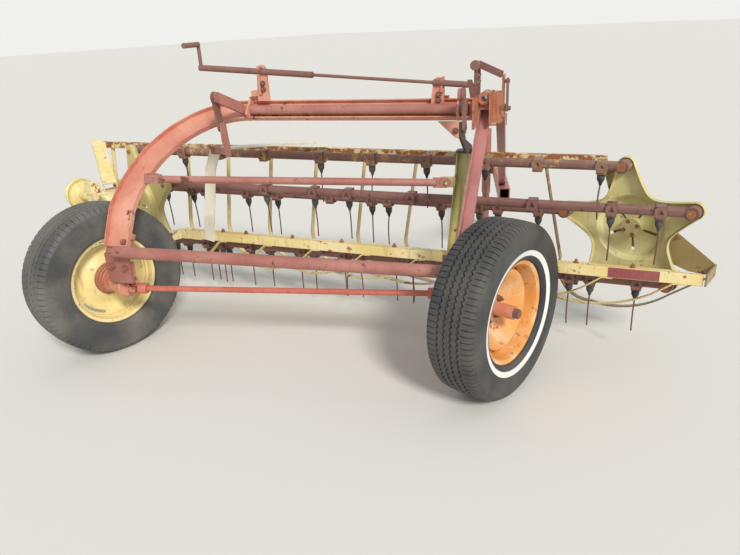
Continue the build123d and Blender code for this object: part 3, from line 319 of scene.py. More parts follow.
# Rims: pressed steel road rims, a rolled barrel with a dished and slotted disc welded in it.
# The right one has rusted orange over its cream paint, the left one is still cream yellow.
RIM_BARREL = (
    # reach outwards, radius, round the section
    (0.0750, 0.2000), (0.0762, 0.2050), (0.0750, 0.2062), (0.0725, 0.2062), (0.0700, 0.2030),
    (0.0690, 0.1928), (0.0300, 0.1925), (-0.0690, 0.1925), (-0.0700, 0.2030), (-0.0725, 0.2062),
    (-0.0750, 0.2062), (-0.0762, 0.2050), (-0.0750, 0.2000), (-0.0715, 0.1900), (-0.0600, 0.1860),
    (-0.0480, 0.1850), (-0.0430, 0.1790), (-0.0330, 0.1770), (0.0080, 0.1770), (0.0220, 0.1810),
    (0.0330, 0.1850), (0.0520, 0.1860), (0.0600, 0.1870), (0.0700, 0.1900),
)
RIM_DISCS = {
    # radius, reach outwards; the slots are cut two faces in from the edge
    "left": (
        (0.0273, -0.0270), (0.0500, -0.0270), (0.0740, -0.0268), (0.0860, -0.0235), (0.1050, -0.0100),
        (0.1200, -0.0030), (0.1330, 0.0000), (0.1440, -0.0010), (0.1520, -0.0050), (0.1580, -0.0100),
        (0.1600, -0.0130), (0.1715, -0.0250), (0.1768, -0.0310),
    ),
    "right": (
        (0.0273, -0.0270), (0.0500, -0.0270), (0.0740, -0.0268), (0.0820, -0.0240), (0.1000, -0.0080),
        (0.1180, 0.0120), (0.1340, 0.0270), (0.1440, 0.0330), (0.1520, 0.0350), (0.1580, 0.0330),
        (0.1610, 0.0290), (0.1680, 0.0120), (0.1768, 0.0020),
    ),
}
DISC_STEPS = 100
DISC_SLOTS = 5
SLOT_STEPS = 11
DISC_THICKNESS = 0.0035
LUG_COUNT = 5
LUG_RADIUS = 0.056
LUG_FACE = -0.0255
WASHER_SHARE = 0.72
THREAD_SHARE = 0.27
THREAD_END_SHARE = 0.2


def square_to(way):
    """Two unit vectors square to a direction and to each other, the second as upright as can be."""
    way = np.asarray(way, float) / np.linalg.norm(way)
    helper = np.array([0.0, 0.0, 1.0]) if abs(way[2]) < 0.9 else np.array([0.0, 1.0, 0.0])
    side = np.cross(helper, way)
    side /= np.linalg.norm(side)
    return side, np.cross(way, side)


def turned(profile, base, way, steps=48, closed=False, look=0):
    """A profile of (reach along the axis, radius) carried round the axis; open ends lie on it."""
    way = np.asarray(way, float) / np.linalg.norm(way)
    side, up = square_to(way)
    profile = np.asarray(profile, float)
    angle = np.arange(steps) / steps * 2 * math.pi
    spoke = np.cos(angle)[:, None] * side + np.sin(angle)[:, None] * up
    points = np.asarray(base) + profile[None, :, :1] * way + profile[None, :, 1:] * spoke[:, None, :]
    shape = grid(points, closed_rows=True, closed_columns=closed)
    return shape[0], shape[1], look


def prism(outline, depth, look=0):
    """A flat outline of points carried by a vector, with a face at each end."""
    outline = np.asarray(outline, float)
    count = len(outline)
    points = np.concatenate([outline, outline + np.asarray(depth)])
    nexts = (np.arange(count) + 1) % count
    sides = np.stack([np.arange(count), nexts, nexts + count, np.arange(count) + count], -1).tolist()
    ends = [list(range(count))[::-1], list(range(count, 2 * count))]
    return points, sides + ends, look


def bolt(place, way, across=0.019, height=0.011, tail=0.006, washer=0.0025, look=0):
    """A washer, a six-sided head or nut, and the end of the thread that stands out of it."""
    way = np.asarray(way, float) / np.linalg.norm(way)
    side, up = square_to(way)
    angle = np.arange(6) / 6 * 2 * math.pi
    hexagon = across / math.sqrt(3) * (np.cos(angle)[:, None] * side + np.sin(angle)[:, None] * up)
    place = np.asarray(place, float)
    wide = across * WASHER_SHARE
    washer_ring = turned([(0, 0), (0, wide), (washer, wide), (washer, 0)], place, way, 16, look=look)
    shapes = [washer_ring, prism(place + way * washer + hexagon, way * height, look)]
    if tail:
        end = washer + height
        thick = across * THREAD_SHARE
        thread = [
            (end, 0), (end, thick), (end + tail * 0.8, thick),
            (end + tail, across * THREAD_END_SHARE), (end + tail, 0),
        ]
        shapes.append(turned(thread, place, way, 12, look=look))
    return shapes


PAINT_GROUP, given, result = group(
    "weathered_paint",
    (
        ("Paint", "Color", shade(200, 110, 95)), ("Faded", "Color", shade(215, 150, 130)),
        ("Rust", "Color", shade(150, 85, 50)), ("Dark Rust", "Color", shade(80, 50, 42)),
        ("Fade", "Float", 0.5), ("Wear", "Float", 0.3), ("Edge", "Float", 0.5), ("Scale", "Float", 1.0),
        ("Gloss", "Float", 0.5),
    ),
    (("Color", "Color"), ("Roughness", "Float"), ("Height", "Float"), ("Rusted", "Float")),
)
tree = PAINT_GROUP
place = node(tree, "TexCoord").outputs["Object"]
size = given["Scale"]
cloud = noise(tree, place, sums(tree, "MULTIPLY", size, 4.0), 5.0, 0.6)
patch = noise(tree, place, sums(tree, "MULTIPLY", size, 22.0), 8.0, 0.68)
speck = noise(tree, place, sums(tree, "MULTIPLY", size, 170.0), 3.0, 0.6)
stretched = node(tree, "Mapping", {"Vector": place, "Scale": (60.0, 60.0, 5.0)}).outputs["Vector"]
streak = noise(tree, stretched, size, 3.0, 0.5)
fading = ramp(tree, sums(tree, "ADD", cloud, sums(tree, "SUBTRACT", given["Fade"], 0.5)), 0.32, 0.72)
mottled = sums(tree, "ADD", fading, sums(tree, "MULTIPLY", sums(tree, "SUBTRACT", speck, 0.5), 0.35))
rounded = node(tree, "Bevel", {"Radius": 0.004}, samples=4).outputs["Normal"]
facing = node(tree, "NewGeometry").outputs["Normal"]
agree = node(tree, "VectorMath", {0: rounded, 1: facing}, operation="DOT_PRODUCT").outputs["Value"]
corner = ramp(tree, sums(tree, "SUBTRACT", 1.0, agree), 0.01, 0.16)
chipped = sums(tree, "MULTIPLY", corner, ramp(tree, sums(tree, "ADD", patch, given["Edge"]), 0.72, 0.98))
level = sums(tree, "SUBTRACT", 0.80, sums(tree, "MULTIPLY", given["Wear"], 0.45))
blotch = node(tree, "MapRange", {
    "Value": sums(tree, "ADD", patch, sums(tree, "MULTIPLY", sums(tree, "SUBTRACT", cloud, 0.5), 0.5)),
    "From Min": level, "From Max": sums(tree, "ADD", level, 0.07),
}).outputs["Result"]
run = sums(tree, "MULTIPLY", ramp(tree, streak, 0.55, 0.75), sums(tree, "MULTIPLY", given["Wear"], 0.8))
worst = {0: sums(tree, "MAXIMUM", blotch, chipped), 1: run}
bare = node(tree, "Math", worst, operation="MAXIMUM", use_clamp=True).outputs[0]
painted_part = mixed(tree, mottled, given["Paint"], given["Faded"])
rusted_part = mixed(tree, ramp(tree, speck, 0.35, 0.65), given["Dark Rust"], given["Rust"])
tree.links.new(mixed(tree, bare, painted_part, rusted_part), result["Color"])
tree.links.new(bare, result["Rusted"])
shine = sums(tree, "MULTIPLY", given["Gloss"], sums(tree, "SUBTRACT", 1.0, bare))
roughness = sums(tree, "SUBTRACT", 1.0, shine)
roughness = sums(tree, "ADD", roughness, sums(tree, "MULTIPLY", sums(tree, "SUBTRACT", speck, 0.5), 0.25))
tree.links.new(sums(tree, "MULTIPLY", roughness, 0.88), result["Roughness"])
swollen = sums(tree, "MULTIPLY", bare, sums(tree, "ADD", 0.4, speck))
tree.links.new(sums(tree, "ADD", swollen, sums(tree, "MULTIPLY", speck, 0.25)), result["Height"])


def paint(name, colour, faded, rust=(150, 84, 48), dark=(86, 54, 44), **values):
    """Weathered paint from display colours and the group's own values."""
    sockets = {"Paint": shade(*colour), "Faded": shade(*faded)}
    sockets.update({"Rust": shade(*rust), "Dark Rust": shade(*dark)})
    sockets.update({label.replace("_", " ").title(): value for label, value in values.items()})
    return coat(name, PAINT_GROUP, sockets, bump=0.35, depth=0.0008)


cream = paint("cream_paint", (234, 212, 138), (242, 230, 178), rust=(176, 112, 60), wear=0.42, edge=0.42)
rim_orange = paint(
    "orange_rim_paint", (224, 156, 78), (250, 242, 214), rust=(204, 126, 62), dark=(150, 84, 46), fade=0.40,
    wear=0.48, edge=0.35,
)
red = paint(
    "red_paint", (198, 122, 102), (224, 162, 138), rust=(142, 80, 58), dark=(104, 58, 50), wear=0.36,
    edge=0.35, fade=0.55,
)
old_red = paint(
    "old_red_paint", (158, 98, 88), (184, 128, 114), rust=(130, 84, 68), dark=(88, 56, 50), wear=0.42,
    edge=0.4,
)
steel_rust = paint(
    "brown_rust", (124, 86, 76), (140, 104, 92), rust=(150, 96, 70), dark=(84, 58, 54), wear=0.45, gloss=0.35
)
RIM_LOOKS = {"left": (cream, steel_rust, "cream_paint"), "right": (rim_orange, red, "orange_rim")}
for side, out, *rest in TYRES:
    centre = np.array(joints[f"{side}_wheel_spin"]["pos_m"])
    way = np.array([out, 0.0, 0.0])
    rim_paint, hub_paint, slot = RIM_LOOKS[side]
    barrel = turned(RIM_BARREL, centre, way, DISC_STEPS, closed=True)
    piece(f"{side}_rim_barrel", [barrel], [rim_paint], f"{side}_wheel", [f"{side}_rim"])
    profile = np.array(RIM_DISCS[side])[:, ::-1]
    points, faces, look = turned(profile, centre, way, DISC_STEPS)
    column = np.arange(len(faces)) % (len(profile) - 1)
    row = np.arange(len(faces)) // (len(profile) - 1) % (DISC_STEPS // DISC_SLOTS)
    kept = ~((column == len(profile) - 3) & (row < SLOT_STEPS))
    plate = (points, faces[kept])
    disc = piece(f"{side}_rim_disc", [plate], [rim_paint], f"{side}_wheel", closed=False)
    wall = disc.modifiers.new("plate", "SOLIDIFY")
    wall.thickness = DISC_THICKNESS
    wall.offset = 0
    lugs = []
    for lug in range(LUG_COUNT):
        turn = (lug + 0.25) / LUG_COUNT * 2 * math.pi
        spoke = np.array([0.0, math.cos(turn), math.sin(turn)]) * LUG_RADIUS
        lugs += bolt(centre + spoke + way * LUG_FACE, way, across=0.020, height=0.013, tail=0.010)
    piece(f"{side}_lug_bolts", lugs, [steel_rust], f"{side}_wheel")


# Hubs, spindles and axle housings: castings that carry the wheels behind the foot plates. The
# left hub shows its ribbed back, and the wheel turns on a plain spindle held by a nut.
HUB_RIBS = (
    # reach inwards, radius
    (0.040, 0.072), (0.052, 0.064), (0.064, 0.056),
)
RIB_ROOT = 0.036
RIB_STEP = 0.003


def smooth_copy(node_name, material, crease=32):
    """A rolled or welded steel piece as it is made, with its round faces shaded smooth."""
    mesh = nodes[node_name].data.copy()
    mesh.name = f"{node_name}_surface"
    work = bmesh.new()
    work.from_mesh(mesh)
    bmesh.ops.remove_doubles(work, verts=work.verts, dist=2e-5)
    work.to_mesh(mesh)
    work.free()
    mesh.materials.clear()
    mesh.materials.append(material)
    if "custom_normal" in mesh.attributes:
        mesh.attributes.remove(mesh.attributes["custom_normal"])
    mesh.shade_smooth()
    mesh.set_sharp_from_angle(angle=math.radians(crease))
    made = bpy.data.objects.new(f"{node_name}_surface", mesh)
    bpy.context.scene.collection.objects.link(made)
    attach(made, nodes[node_name]["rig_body"])
    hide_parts(node_name)
    return made


hub_rust = paint("hub_casting", (176, 104, 76), (196, 136, 104), rust=(150, 88, 62), wear=0.55, edge=0.45)
for side, out, *rest in TYRES:
    centre = np.array(joints[f"{side}_wheel_spin"]["pos_m"])
    way = np.array([out, 0.0, 0.0])
    hub_look = hub_rust if side == "left" else red
    smooth_copy(f"{side}_hub", hub_look)
    ribs = []
    for reach, radius in HUB_RIBS:
        ring = [
            (-reach, RIB_ROOT), (-reach, radius), (-reach - RIB_STEP, radius + RIB_STEP),
            (-reach - 2 * RIB_STEP, radius), (-reach - 2 * RIB_STEP, RIB_ROOT),
        ]
        ribs.append(turned(ring, centre, way, 48, closed=True))
    piece(f"{side}_hub_ribs", ribs, [hub_look], f"{side}_wheel")
    smooth_copy(f"{side}_axle_housing", red)
    smooth_copy(f"{side}_spindle", steel_rust)


# Cross tube and foot plates: a round tube welded between two upright plates, all faded red. The
# feet of the arch and of the right leg are bolted to the plates.
smooth_copy("cross_tube", old_red)
UPWARDS = np.array([0.0, 0.0, 1.0])
wheel_centres = [np.array(joints[f"{side}_wheel_spin"]["pos_m"]) for side in ("left", "right")]
wheel_middle = (wheel_centres[0] + wheel_centres[1]) / 2
wheel_middle[2] = 0.0
basket_way = np.array(joints["right_head_spin"]["pos_m"]) - np.array(joints["left_head_spin"]["pos_m"])
basket_way /= np.linalg.norm(basket_way)
basket_side = np.cross(UPWARDS, basket_way)
beam_way = np.array(joints["rockshaft_turn"]["axis"])
beam_way /= np.linalg.norm(beam_way)
beam_side = np.cross(UPWARDS, beam_way)
BEAM_END = (0.741, 0.345)
BEAM_LEAN = math.radians(48.6)
FOOT_BOLTS = (
    # along the beam, square to it, height
    (-0.757, -0.105, 0.468), (-0.690, -0.105, 0.464), (0.700, 0.055, 0.462), (0.742, 0.055, 0.462),
)
WEB_BOLT = (-0.702, -0.0635, 0.564)
WEB_THICKNESS = 0.006
lean_out = UPWARDS * math.cos(BEAM_LEAN) - beam_side * math.sin(BEAM_LEAN)


def along(u, v, z):
    """A point along the basket, square to it and up, from the middle between the wheels."""
    return wheel_middle + basket_way * u + basket_side * v + UPWARDS * z


def over(u, v, z):
    """The same for the frame over the basket, which is turned about the right end of its beam."""
    return along(*BEAM_END, z) + beam_way * (u - BEAM_END[0]) + beam_side * (v - BEAM_END[1])


foot_bolts = []
for u, v, z in FOOT_BOLTS:
    foot_bolts += bolt(over(u, v, z), -beam_side, across=0.022, height=0.012, tail=0.008)
on_web = over(*WEB_BOLT) + lean_out * WEB_THICKNESS
foot_bolts += bolt(on_web, lean_out, across=0.022, height=0.012)
piece("foot_bolts", foot_bolts, [old_red], "frame")

# Arch beam: a rolled channel bent round the left end of the machine, salmon red in the sun. Its
# flanges' outer edges are drawn back towards the web, to the depth that they show.
ARCH_FOOT = (-0.727, -0.120, 0.500)
FLANGE_DEPTH = 0.042
FLANGE_SEEN = 0.023
EDGE_TOLERANCE = 0.0006
arch = smooth_copy("arch_beam", red)
arch_points = np.empty(len(arch.data.vertices) * 3)
arch.data.vertices.foreach_get("co", arch_points)
arch_points = arch_points.reshape(-1, 3)
above_web = (arch_points - over(*ARCH_FOOT)) @ lean_out
worn_back = np.abs(above_web - FLANGE_DEPTH) < EDGE_TOLERANCE
arch_points -= worn_back[:, None] * lean_out * (FLANGE_DEPTH - FLANGE_SEEN)
arch.data.vertices.foreach_set("co", arch_points.reshape(-1))
arch.data.update()

# Right leg and head: an angle up from the right foot, with the plates, pivot tube and post that
# are welded and bolted at its top.
pink = paint("pink_leg_paint", (166, 106, 104), (186, 128, 124), rust=(140, 86, 72), wear=0.3, edge=0.35)
smooth_copy("right_leg", pink)
smooth_copy("head_bracket", hub_rust)

# Height control: a crank and screw rod in two brackets, and the links that it pulls. The cheeks
# of the brackets and the gusset under the beam are cut plate, bolted on.
smooth_copy("crank_rod", steel_rust)
smooth_copy("crank_brackets", red)
CHEEKS = (
    # middle of the top, and middle of the foot, along the beam; top and foot heights; half width
    (-0.172, -0.176, 1.232, 1.105, 0.023), (0.598, 0.592, 1.166, 1.062, 0.022),
)
CHEEK_FACE = 0.366
CHEEK_THICK = 0.006
CHEEK_FLARE = 1.3
CHEEK_BOLT_SHARES = (0.0, 0.42, 0.62)
GUSSET_FACE = 0.340
GUSSET_CORNERS = ((0.600, 1.022), (0.690, 1.022), (0.700, 0.950), (0.670, 0.958))
GUSSET_BOLT = (0.672, 0.334, 0.985)
cheeks, bracket_bolts = [], []
for top_u, foot_u, top_z, foot_z, half in CHEEKS:
    round_top = np.linspace(0, math.pi, 13)
    outline = [over(top_u + half * math.cos(a), CHEEK_FACE, top_z + half * math.sin(a)) for a in round_top]
    outline += [over(foot_u + hand * half * CHEEK_FLARE, CHEEK_FACE, foot_z) for hand in (-1, 1)]
    cheeks.append(prism(outline, -beam_side * CHEEK_THICK))
    for share in CHEEK_BOLT_SHARES:
        place = over(top_u, CHEEK_FACE - CHEEK_THICK, top_z + (foot_z - top_z) * share)
        bracket_bolts += bolt(place, -beam_side, across=0.017, height=0.008, tail=0.005)
gusset = [over(u, GUSSET_FACE, z) for u, z in GUSSET_CORNERS]
cheeks.append(prism(gusset, -beam_side * CHEEK_THICK))
bracket_bolts += bolt(over(*GUSSET_BOLT), -beam_side, across=0.018, height=0.008, tail=0.005)
piece("bracket_plates", cheeks, [red], "frame")
piece("bracket_bolts", bracket_bolts, [steel_rust], "frame")
smooth_copy("head_links", steel_rust)

# Strut, drawbar, hitch eye and jack: square tube and plate, painted the same red. The strut runs
# down from the head, and the jack's bare leg slides in its sleeve.
for name in ("front_strut", "drawbar", "hitch_eye", "jack_outer"):
    smooth_copy(name, old_red)
smooth_copy("jack_leg", steel_rust)

# Lift: the rockshaft turns in the channel and its levers pull the basket up by two links. The
# shaft keeps old red paint, and the links are rusty steel.
black = paint("black_steel", (52, 48, 48), (70, 64, 62), rust=(96, 70, 58), dark=(40, 34, 32), wear=0.3)
smooth_copy("rockshaft", old_red)
for name in ("left_lift_link", "right_lift_link"):
    smooth_copy(name, steel_rust)

# Radius rod and drive shaft: the rod holds the basket back, the shaft joins the two hubs. The
# shaft is a thin red tube with a forked joint at each end, turning on a bare steel cross.
bright_red = paint("shaft_paint", (190, 96, 80), (204, 122, 102), rust=(140, 84, 66), wear=0.36)
smooth_copy("radius_rod", old_red)
smooth_copy("radius_rod_bracket", old_red)
KNUCKLE_REACH = 0.026
KNUCKLE_RADIUS = 0.0215
SHAFT_RADIUS = 0.0125
SHAFT_START = 0.05
COLLAR_START = 0.0195
COLLAR_START_RADIUS = 0.0210
COLLAR_RADIUS = 0.0240
COLLAR_BEVEL = 0.004
COLLAR_END = 0.060
FORK_ROOT = 0.022
CROSS_HALF = 0.0170
CROSS_RADIUS = 0.0085
FORK_HALF_GAP = 0.0175
FORK_THICK = 0.0075
FORK_HALF_WIDTH = 0.0125


def finger(cross, way, spread, hand):
    """A flat plate to one side of the cross: square at its root along the way, and round past the
    cross, as half a circle about the pin."""
    flat = np.cross(way, spread)
    near = cross + spread * hand * FORK_HALF_GAP - spread * FORK_THICK / 2
    turn = np.linspace(-math.pi / 2, math.pi / 2, 9)[:, None]
    tip = near - (np.cos(turn) * way + np.sin(turn) * flat) * FORK_HALF_WIDTH
    root = near + way * FORK_ROOT
    outline = np.concatenate([tip, [root - flat * FORK_HALF_WIDTH, root + flat * FORK_HALF_WIDTH]])
    return prism(outline, spread * FORK_THICK)


def fork(cross, way, spread):
    """A collar on the shaft and two flat fingers from it, one each side of the cross."""
    lip = [
        (COLLAR_END, 0), (COLLAR_END, KNUCKLE_RADIUS), (COLLAR_END - COLLAR_BEVEL, COLLAR_RADIUS),
        (FORK_ROOT, COLLAR_RADIUS), (COLLAR_START, COLLAR_START_RADIUS), (COLLAR_START, 0),
    ]
    pin = [(0, 0), (0, 0.0075), (0.0035, 0.0075), (0.0045, 0.0060), (0.0045, 0)]
    shapes = [turned(lip, cross, way, 32)]
    for hand in (-1, 1):
        shapes.append(finger(cross, way, spread, hand))
        outer_face = cross + spread * hand * (FORK_HALF_GAP + FORK_THICK / 2)
        shapes.append(turned(pin, outer_face, spread * hand, 16))
    return shapes


inner_joint = np.array(joints["drive_shaft_spin"]["pos_m"])
shaft_way = np.array(joints["drive_shaft_spin"]["axis"])
shaft_way /= np.linalg.norm(shaft_way)
outer_joint = 2 * (wheel_middle + UPWARDS * inner_joint[2]) - inner_joint
shaft_length = np.linalg.norm(outer_joint - inner_joint)
shaft_end = shaft_length - SHAFT_START
tube = [(SHAFT_START, 0), (SHAFT_START, SHAFT_RADIUS), (shaft_end, SHAFT_RADIUS), (shaft_end, 0)]
shaft_shapes = [turned(tube, inner_joint, shaft_way, 32)]
cross_shapes = []
for cross, way in ((inner_joint, shaft_way), (outer_joint, -shaft_way)):
    flat, upright = square_to(way)
    shaft_shapes += fork(cross, way, upright)
    stub = [
        (COLLAR_START, 0), (COLLAR_START, KNUCKLE_RADIUS), (KNUCKLE_REACH, KNUCKLE_RADIUS),
        (KNUCKLE_REACH, 0),
    ]
    cross_shapes.append(turned(stub, cross, -way, 32))
    arm = [(-CROSS_HALF, 0), (-CROSS_HALF, CROSS_RADIUS), (CROSS_HALF, CROSS_RADIUS), (CROSS_HALF, 0)]
    for spread in (upright, flat):
        cross_shapes.append(turned(arm, cross, spread, 20))
    for hand in (-1, 1):
        cross_shapes.append(finger(cross, -way, flat, hand))
piece("drive_shaft_and_forks", shaft_shapes, [bright_red], "drive_shaft", ["drive_shaft"])
piece("joint_crosses", cross_shapes, [hub_rust], "drive_shaft")

# Basket frame: angle iron below at the back and above at the front, cream yellow and rusty. A
# dark red patch is painted on the lower angle, and bolts stand on its flange.
rusty_cream = paint(
    "rusty_cream_paint", (224, 204, 138), (236, 224, 178), rust=(176, 112, 64), dark=(128, 76, 50),
    wear=0.8, edge=0.6,
)
angle_paint = paint(
    "rear_angle_paint", (232, 208, 136), (242, 228, 176), rust=(180, 108, 60), wear=0.46, edge=0.95
)
maroon = paint(
    "maroon_patch", (142, 72, 76), (158, 92, 94), rust=(198, 150, 92), dark=(150, 100, 70), wear=0.4,
    edge=0.5,
)
bolt_rust = paint("bolt_rust", (168, 104, 66), (196, 134, 92), rust=(132, 76, 50), wear=0.5, gloss=0.35)
ANGLE_BACK = 0.442
ANGLE_TOP = 0.426
FLANGE_MIDDLE = ANGLE_BACK + 0.011
ANGLE_BOLTS = (-0.60, -0.46, -0.19, 0.08, 0.35, 0.62, 0.89, 1.16, 1.38)
ANGLE_HOLE = (1.574, 0.409)
HOLE_RADIUS = 0.006
HOLE_PROUD = 0.001
PATCH_LEFT, PATCH_RIGHT = 1.288, 1.484
PATCH_BOTTOM, PATCH_TOP = 0.3778, 0.4215
PATCH_PROUD = 0.0005
smooth_copy("rear_angle", angle_paint)
smooth_copy("top_rail", rusty_cream)
patch_corners = (
    (PATCH_LEFT, PATCH_BOTTOM), (PATCH_RIGHT, PATCH_BOTTOM), (PATCH_RIGHT, PATCH_TOP),
    (PATCH_LEFT, PATCH_TOP),
)
patch = [along(u, ANGLE_BACK, z) for u, z in patch_corners]
piece("painted_patch", [prism(patch, -basket_side * PATCH_PROUD)], [maroon], "basket")
angle_bolts = []
for u in ANGLE_BOLTS:
    on_flange = along(u, FLANGE_MIDDLE, ANGLE_TOP)
    angle_bolts += bolt(on_flange, UPWARDS, across=0.015, height=0.008, tail=0.006)
hole_u, hole_z = ANGLE_HOLE
hole_disc = [(0, 0), (0, HOLE_RADIUS), (HOLE_PROUD, HOLE_RADIUS), (HOLE_PROUD, 0)]
angle_bolts.append(turned(hole_disc, along(hole_u, ANGLE_BACK, hole_z), -basket_side, 16))
piece("angle_bolts", angle_bolts, [bolt_rust], "basket")

# Uprights and lift brackets: flat straps bolted to the lower angle, the left one faded nearly
# white and the right one olive, with the bracket of a lift link on each.
olive = paint("olive_paint", (190, 180, 116), (206, 198, 142), rust=(150, 96, 56), wear=0.34, edge=0.4)
pale = paint("pale_strap_paint", (238, 232, 206), (246, 244, 232), rust=(160, 110, 70), wear=0.2, edge=0.3)
smooth_copy("left_upright", pale)
smooth_copy("right_upright", olive)
smooth_copy("left_lift_bracket", old_red)
smooth_copy("right_lift_bracket", black)

# Strippers and ends: bent bands between the rows of teeth, a pressed plate with a hoop at the
# right end, and a frame with an arm at the left end. Cream paint, and on the plate a darker
# olive brown that is painted shade.
# The end plate's darker olive brown stands for the shade that it lies in: painted shade.
plate_with_painted_shade = paint(
    "end_plate_paint", (148, 130, 84), (172, 156, 110), rust=(150, 88, 44), dark=(96, 62, 40),
    wear=0.55, edge=0.5,
)
for name in ("strippers_left", "strippers_middle", "strippers_right"):
    smooth_copy(name, cream, crease=40)
smooth_copy("right_end_plate", plate_with_painted_shade, crease=40)
smooth_copy("left_end_frame", cream)
smooth_copy("left_end_arm", cream)

# Gearbox and drive pulley: a casting at the left end with a round cover held by four bolts, and
# the pulley that drives it, both in the basket's cream yellow.
GEARBOX_BACK = (-1.305, -0.105, 0.560)
COVER_PROFILE = (
    # reach backwards, radius
    (0, 0), (0, 0.048), (0.004, 0.048), (0.006, 0.045), (0.006, 0.030), (0.011, 0.026), (0.011, 0),
)
COVER_STEP = 0.006
COVER_BOLT_CIRCLE = 0.038
COVER_BOLT_COUNT = 4
smooth_copy("gearbox", cream)
cover_middle = wheel_middle + np.array(GEARBOX_BACK)
backwards = np.array([0.0, -1.0, 0.0])
gearbox_shapes = [turned(COVER_PROFILE, cover_middle, backwards, 40)]
for quarter in range(COVER_BOLT_COUNT):
    turn = math.pi / 4 + quarter * math.pi / 2
    corner = np.array([math.cos(turn), 0.0, math.sin(turn)]) * COVER_BOLT_CIRCLE
    on_cover = cover_middle + corner + backwards * COVER_STEP
    gearbox_shapes += bolt(on_cover, backwards, across=0.011, height=0.006, tail=0.0)
piece("gearbox_cover", gearbox_shapes, [cream], "basket")
smooth_copy("drive_pulley", cream)

# Star heads: one pressed sheet each, dished in the middle, its edge turned over towards the bars.
# Each carries five pins in its arms, and is painted the cream yellow of the basket.
STAR_ARMS = 5
FIRST_ARM = math.radians(97.5)
PIN_CIRCLE = 0.274
ARM_TIP = 0.034
HOLLOW_PULL = 0.141
HOLLOW_WEIGHT = 2.95
TIP_STEPS = 9
SIDE_STEPS = 16
SLOT_HALF_COLUMNS = 1
STAR_RINGS = (
    # radius of a round ring, or share of the way from the last one to the outline, and the reach
    # from the bars' plane
    ("round", 0.0162, 0.077), ("round", 0.045, 0.077), ("round", 0.104, 0.077), ("round", 0.124, 0.077),
    ("round", 0.128, 0.075), ("round", 0.141, 0.050), ("round", 0.145, 0.047), ("part", 0.35, 0.047),
    ("part", 0.70, 0.047), ("part", 0.93, 0.047), ("part", 0.985, 0.045), ("part", 1.0, 0.041),
    ("part", 1.0, 0.018),
)
STAR_SHEET = 0.004
BOSS_RADIUS = 0.05
BOSS_BOLT_COUNT = 4
BOSS_BOLT_CIRCLE = 0.030
BOSS_FACE = 0.050
BOSS_TURN = 0.4


def star_outline():
    """Five round tips joined by hollow sides: each side runs straight out of both tips and turns
    round the waist, as a weighted curve whose pull lies on the line half way between the arms."""
    runs = []
    for arm in range(STAR_ARMS):
        here = FIRST_ARM - arm * 2 * math.pi / STAR_ARMS
        half_way = here - math.pi / STAR_ARMS
        turn = np.linspace(math.radians(90), math.radians(-90), TIP_STEPS) + here
        tip = PIN_CIRCLE * np.array([math.cos(here), math.sin(here)])
        runs.append(tip + ARM_TIP * np.stack([np.cos(turn), np.sin(turn)], 1))
        start = runs[-1][-1]
        square = np.array([-math.sin(half_way), math.cos(half_way)])
        end = start - 2 * (start @ square) * square
        pull = HOLLOW_PULL * np.array([math.cos(half_way), math.sin(half_way)])
        share = np.linspace(0, 1, SIDE_STEPS + 2)[1:-1, None]
        weights = ((1 - share) ** 2, 2 * HOLLOW_WEIGHT * share * (1 - share), share ** 2)
        run = weights[0] * start + weights[1] * pull + weights[2] * end
        runs.append(run / (weights[0] + weights[1] + weights[2]))
    return np.concatenate(runs)


outline = star_outline()
reach_out = np.linalg.norm(outline, axis=1)
heading = outline / reach_out[:, None]
last_round = max(radius for kind, radius, reach in STAR_RINGS if kind == "round")
star_paint = paint(
    "star_paint", (198, 184, 118), (224, 216, 160), rust=(142, 92, 58), dark=(92, 60, 44), wear=0.27,
    edge=0.9,
)
pin_look = paint(
    "pin_rust", (150, 96, 70), (176, 118, 84), rust=(214, 160, 84), dark=(96, 60, 50), wear=0.5, gloss=0.4
)
for side, away in (("left", -1), ("right", 1)):
    centre = np.array(joints[f"{side}_head_spin"]["pos_m"])
    rings = []
    for kind, radius, reach in STAR_RINGS:
        grown = last_round + radius * (reach_out - last_round)
        length = np.full_like(reach_out, radius) if kind == "round" else grown
        flat = heading * length[:, None]
        across = np.full(len(flat), centre[1] + away * reach)
        rings.append(np.stack([centre[0] + flat[:, 0], across, centre[2] + flat[:, 1]], 1))
    points, faces = grid(np.array(rings), closed_columns=True)
    column = np.arange(len(faces)) % len(outline)
    row = np.arange(len(faces)) // len(outline)
    in_run = column % (TIP_STEPS + SIDE_STEPS)
    middle_of_side = TIP_STEPS + SIDE_STEPS // 2 - 1
    slot_faces = (row == 1) & (np.abs(in_run - middle_of_side) <= SLOT_HALF_COLUMNS)
    sheet = (points, faces[~slot_faces])
    star = piece(
        f"{side}_star_sheet", [sheet], [star_paint], f"{side}_head", [f"{side}_star"],
        closed=False,
    )
    wall = star.modifiers.new("sheet", "SOLIDIFY")
    wall.thickness = STAR_SHEET
    wall.offset = 0
    pins = smooth_copy(f"{side}_head_pins", pin_look)
    pins.data.materials.append(star_paint)
    middles = np.empty(len(pins.data.polygons) * 3)
    pins.data.polygons.foreach_get("center", middles)
    away_from_axis = np.linalg.norm(middles.reshape(-1, 3)[:, [0, 2]] - centre[[0, 2]], axis=1)
    pins.data.polygons.foreach_set("material_index", (away_from_axis < BOSS_RADIUS).astype(np.int32))
    pins.data.update()
    bosses = []
    for turn in np.arange(BOSS_BOLT_COUNT) / BOSS_BOLT_COUNT * 2 * math.pi + BOSS_TURN:
        x, z = BOSS_BOLT_CIRCLE * np.array([math.cos(turn), math.sin(turn)])
        spot = centre + np.array([x, away * BOSS_FACE, z])
        bosses += bolt(spot, (0, -away, 0), across=0.013, height=0.007, tail=0.004)
    piece(f"{side}_boss_bolts", bosses, [pin_look], f"{side}_head")

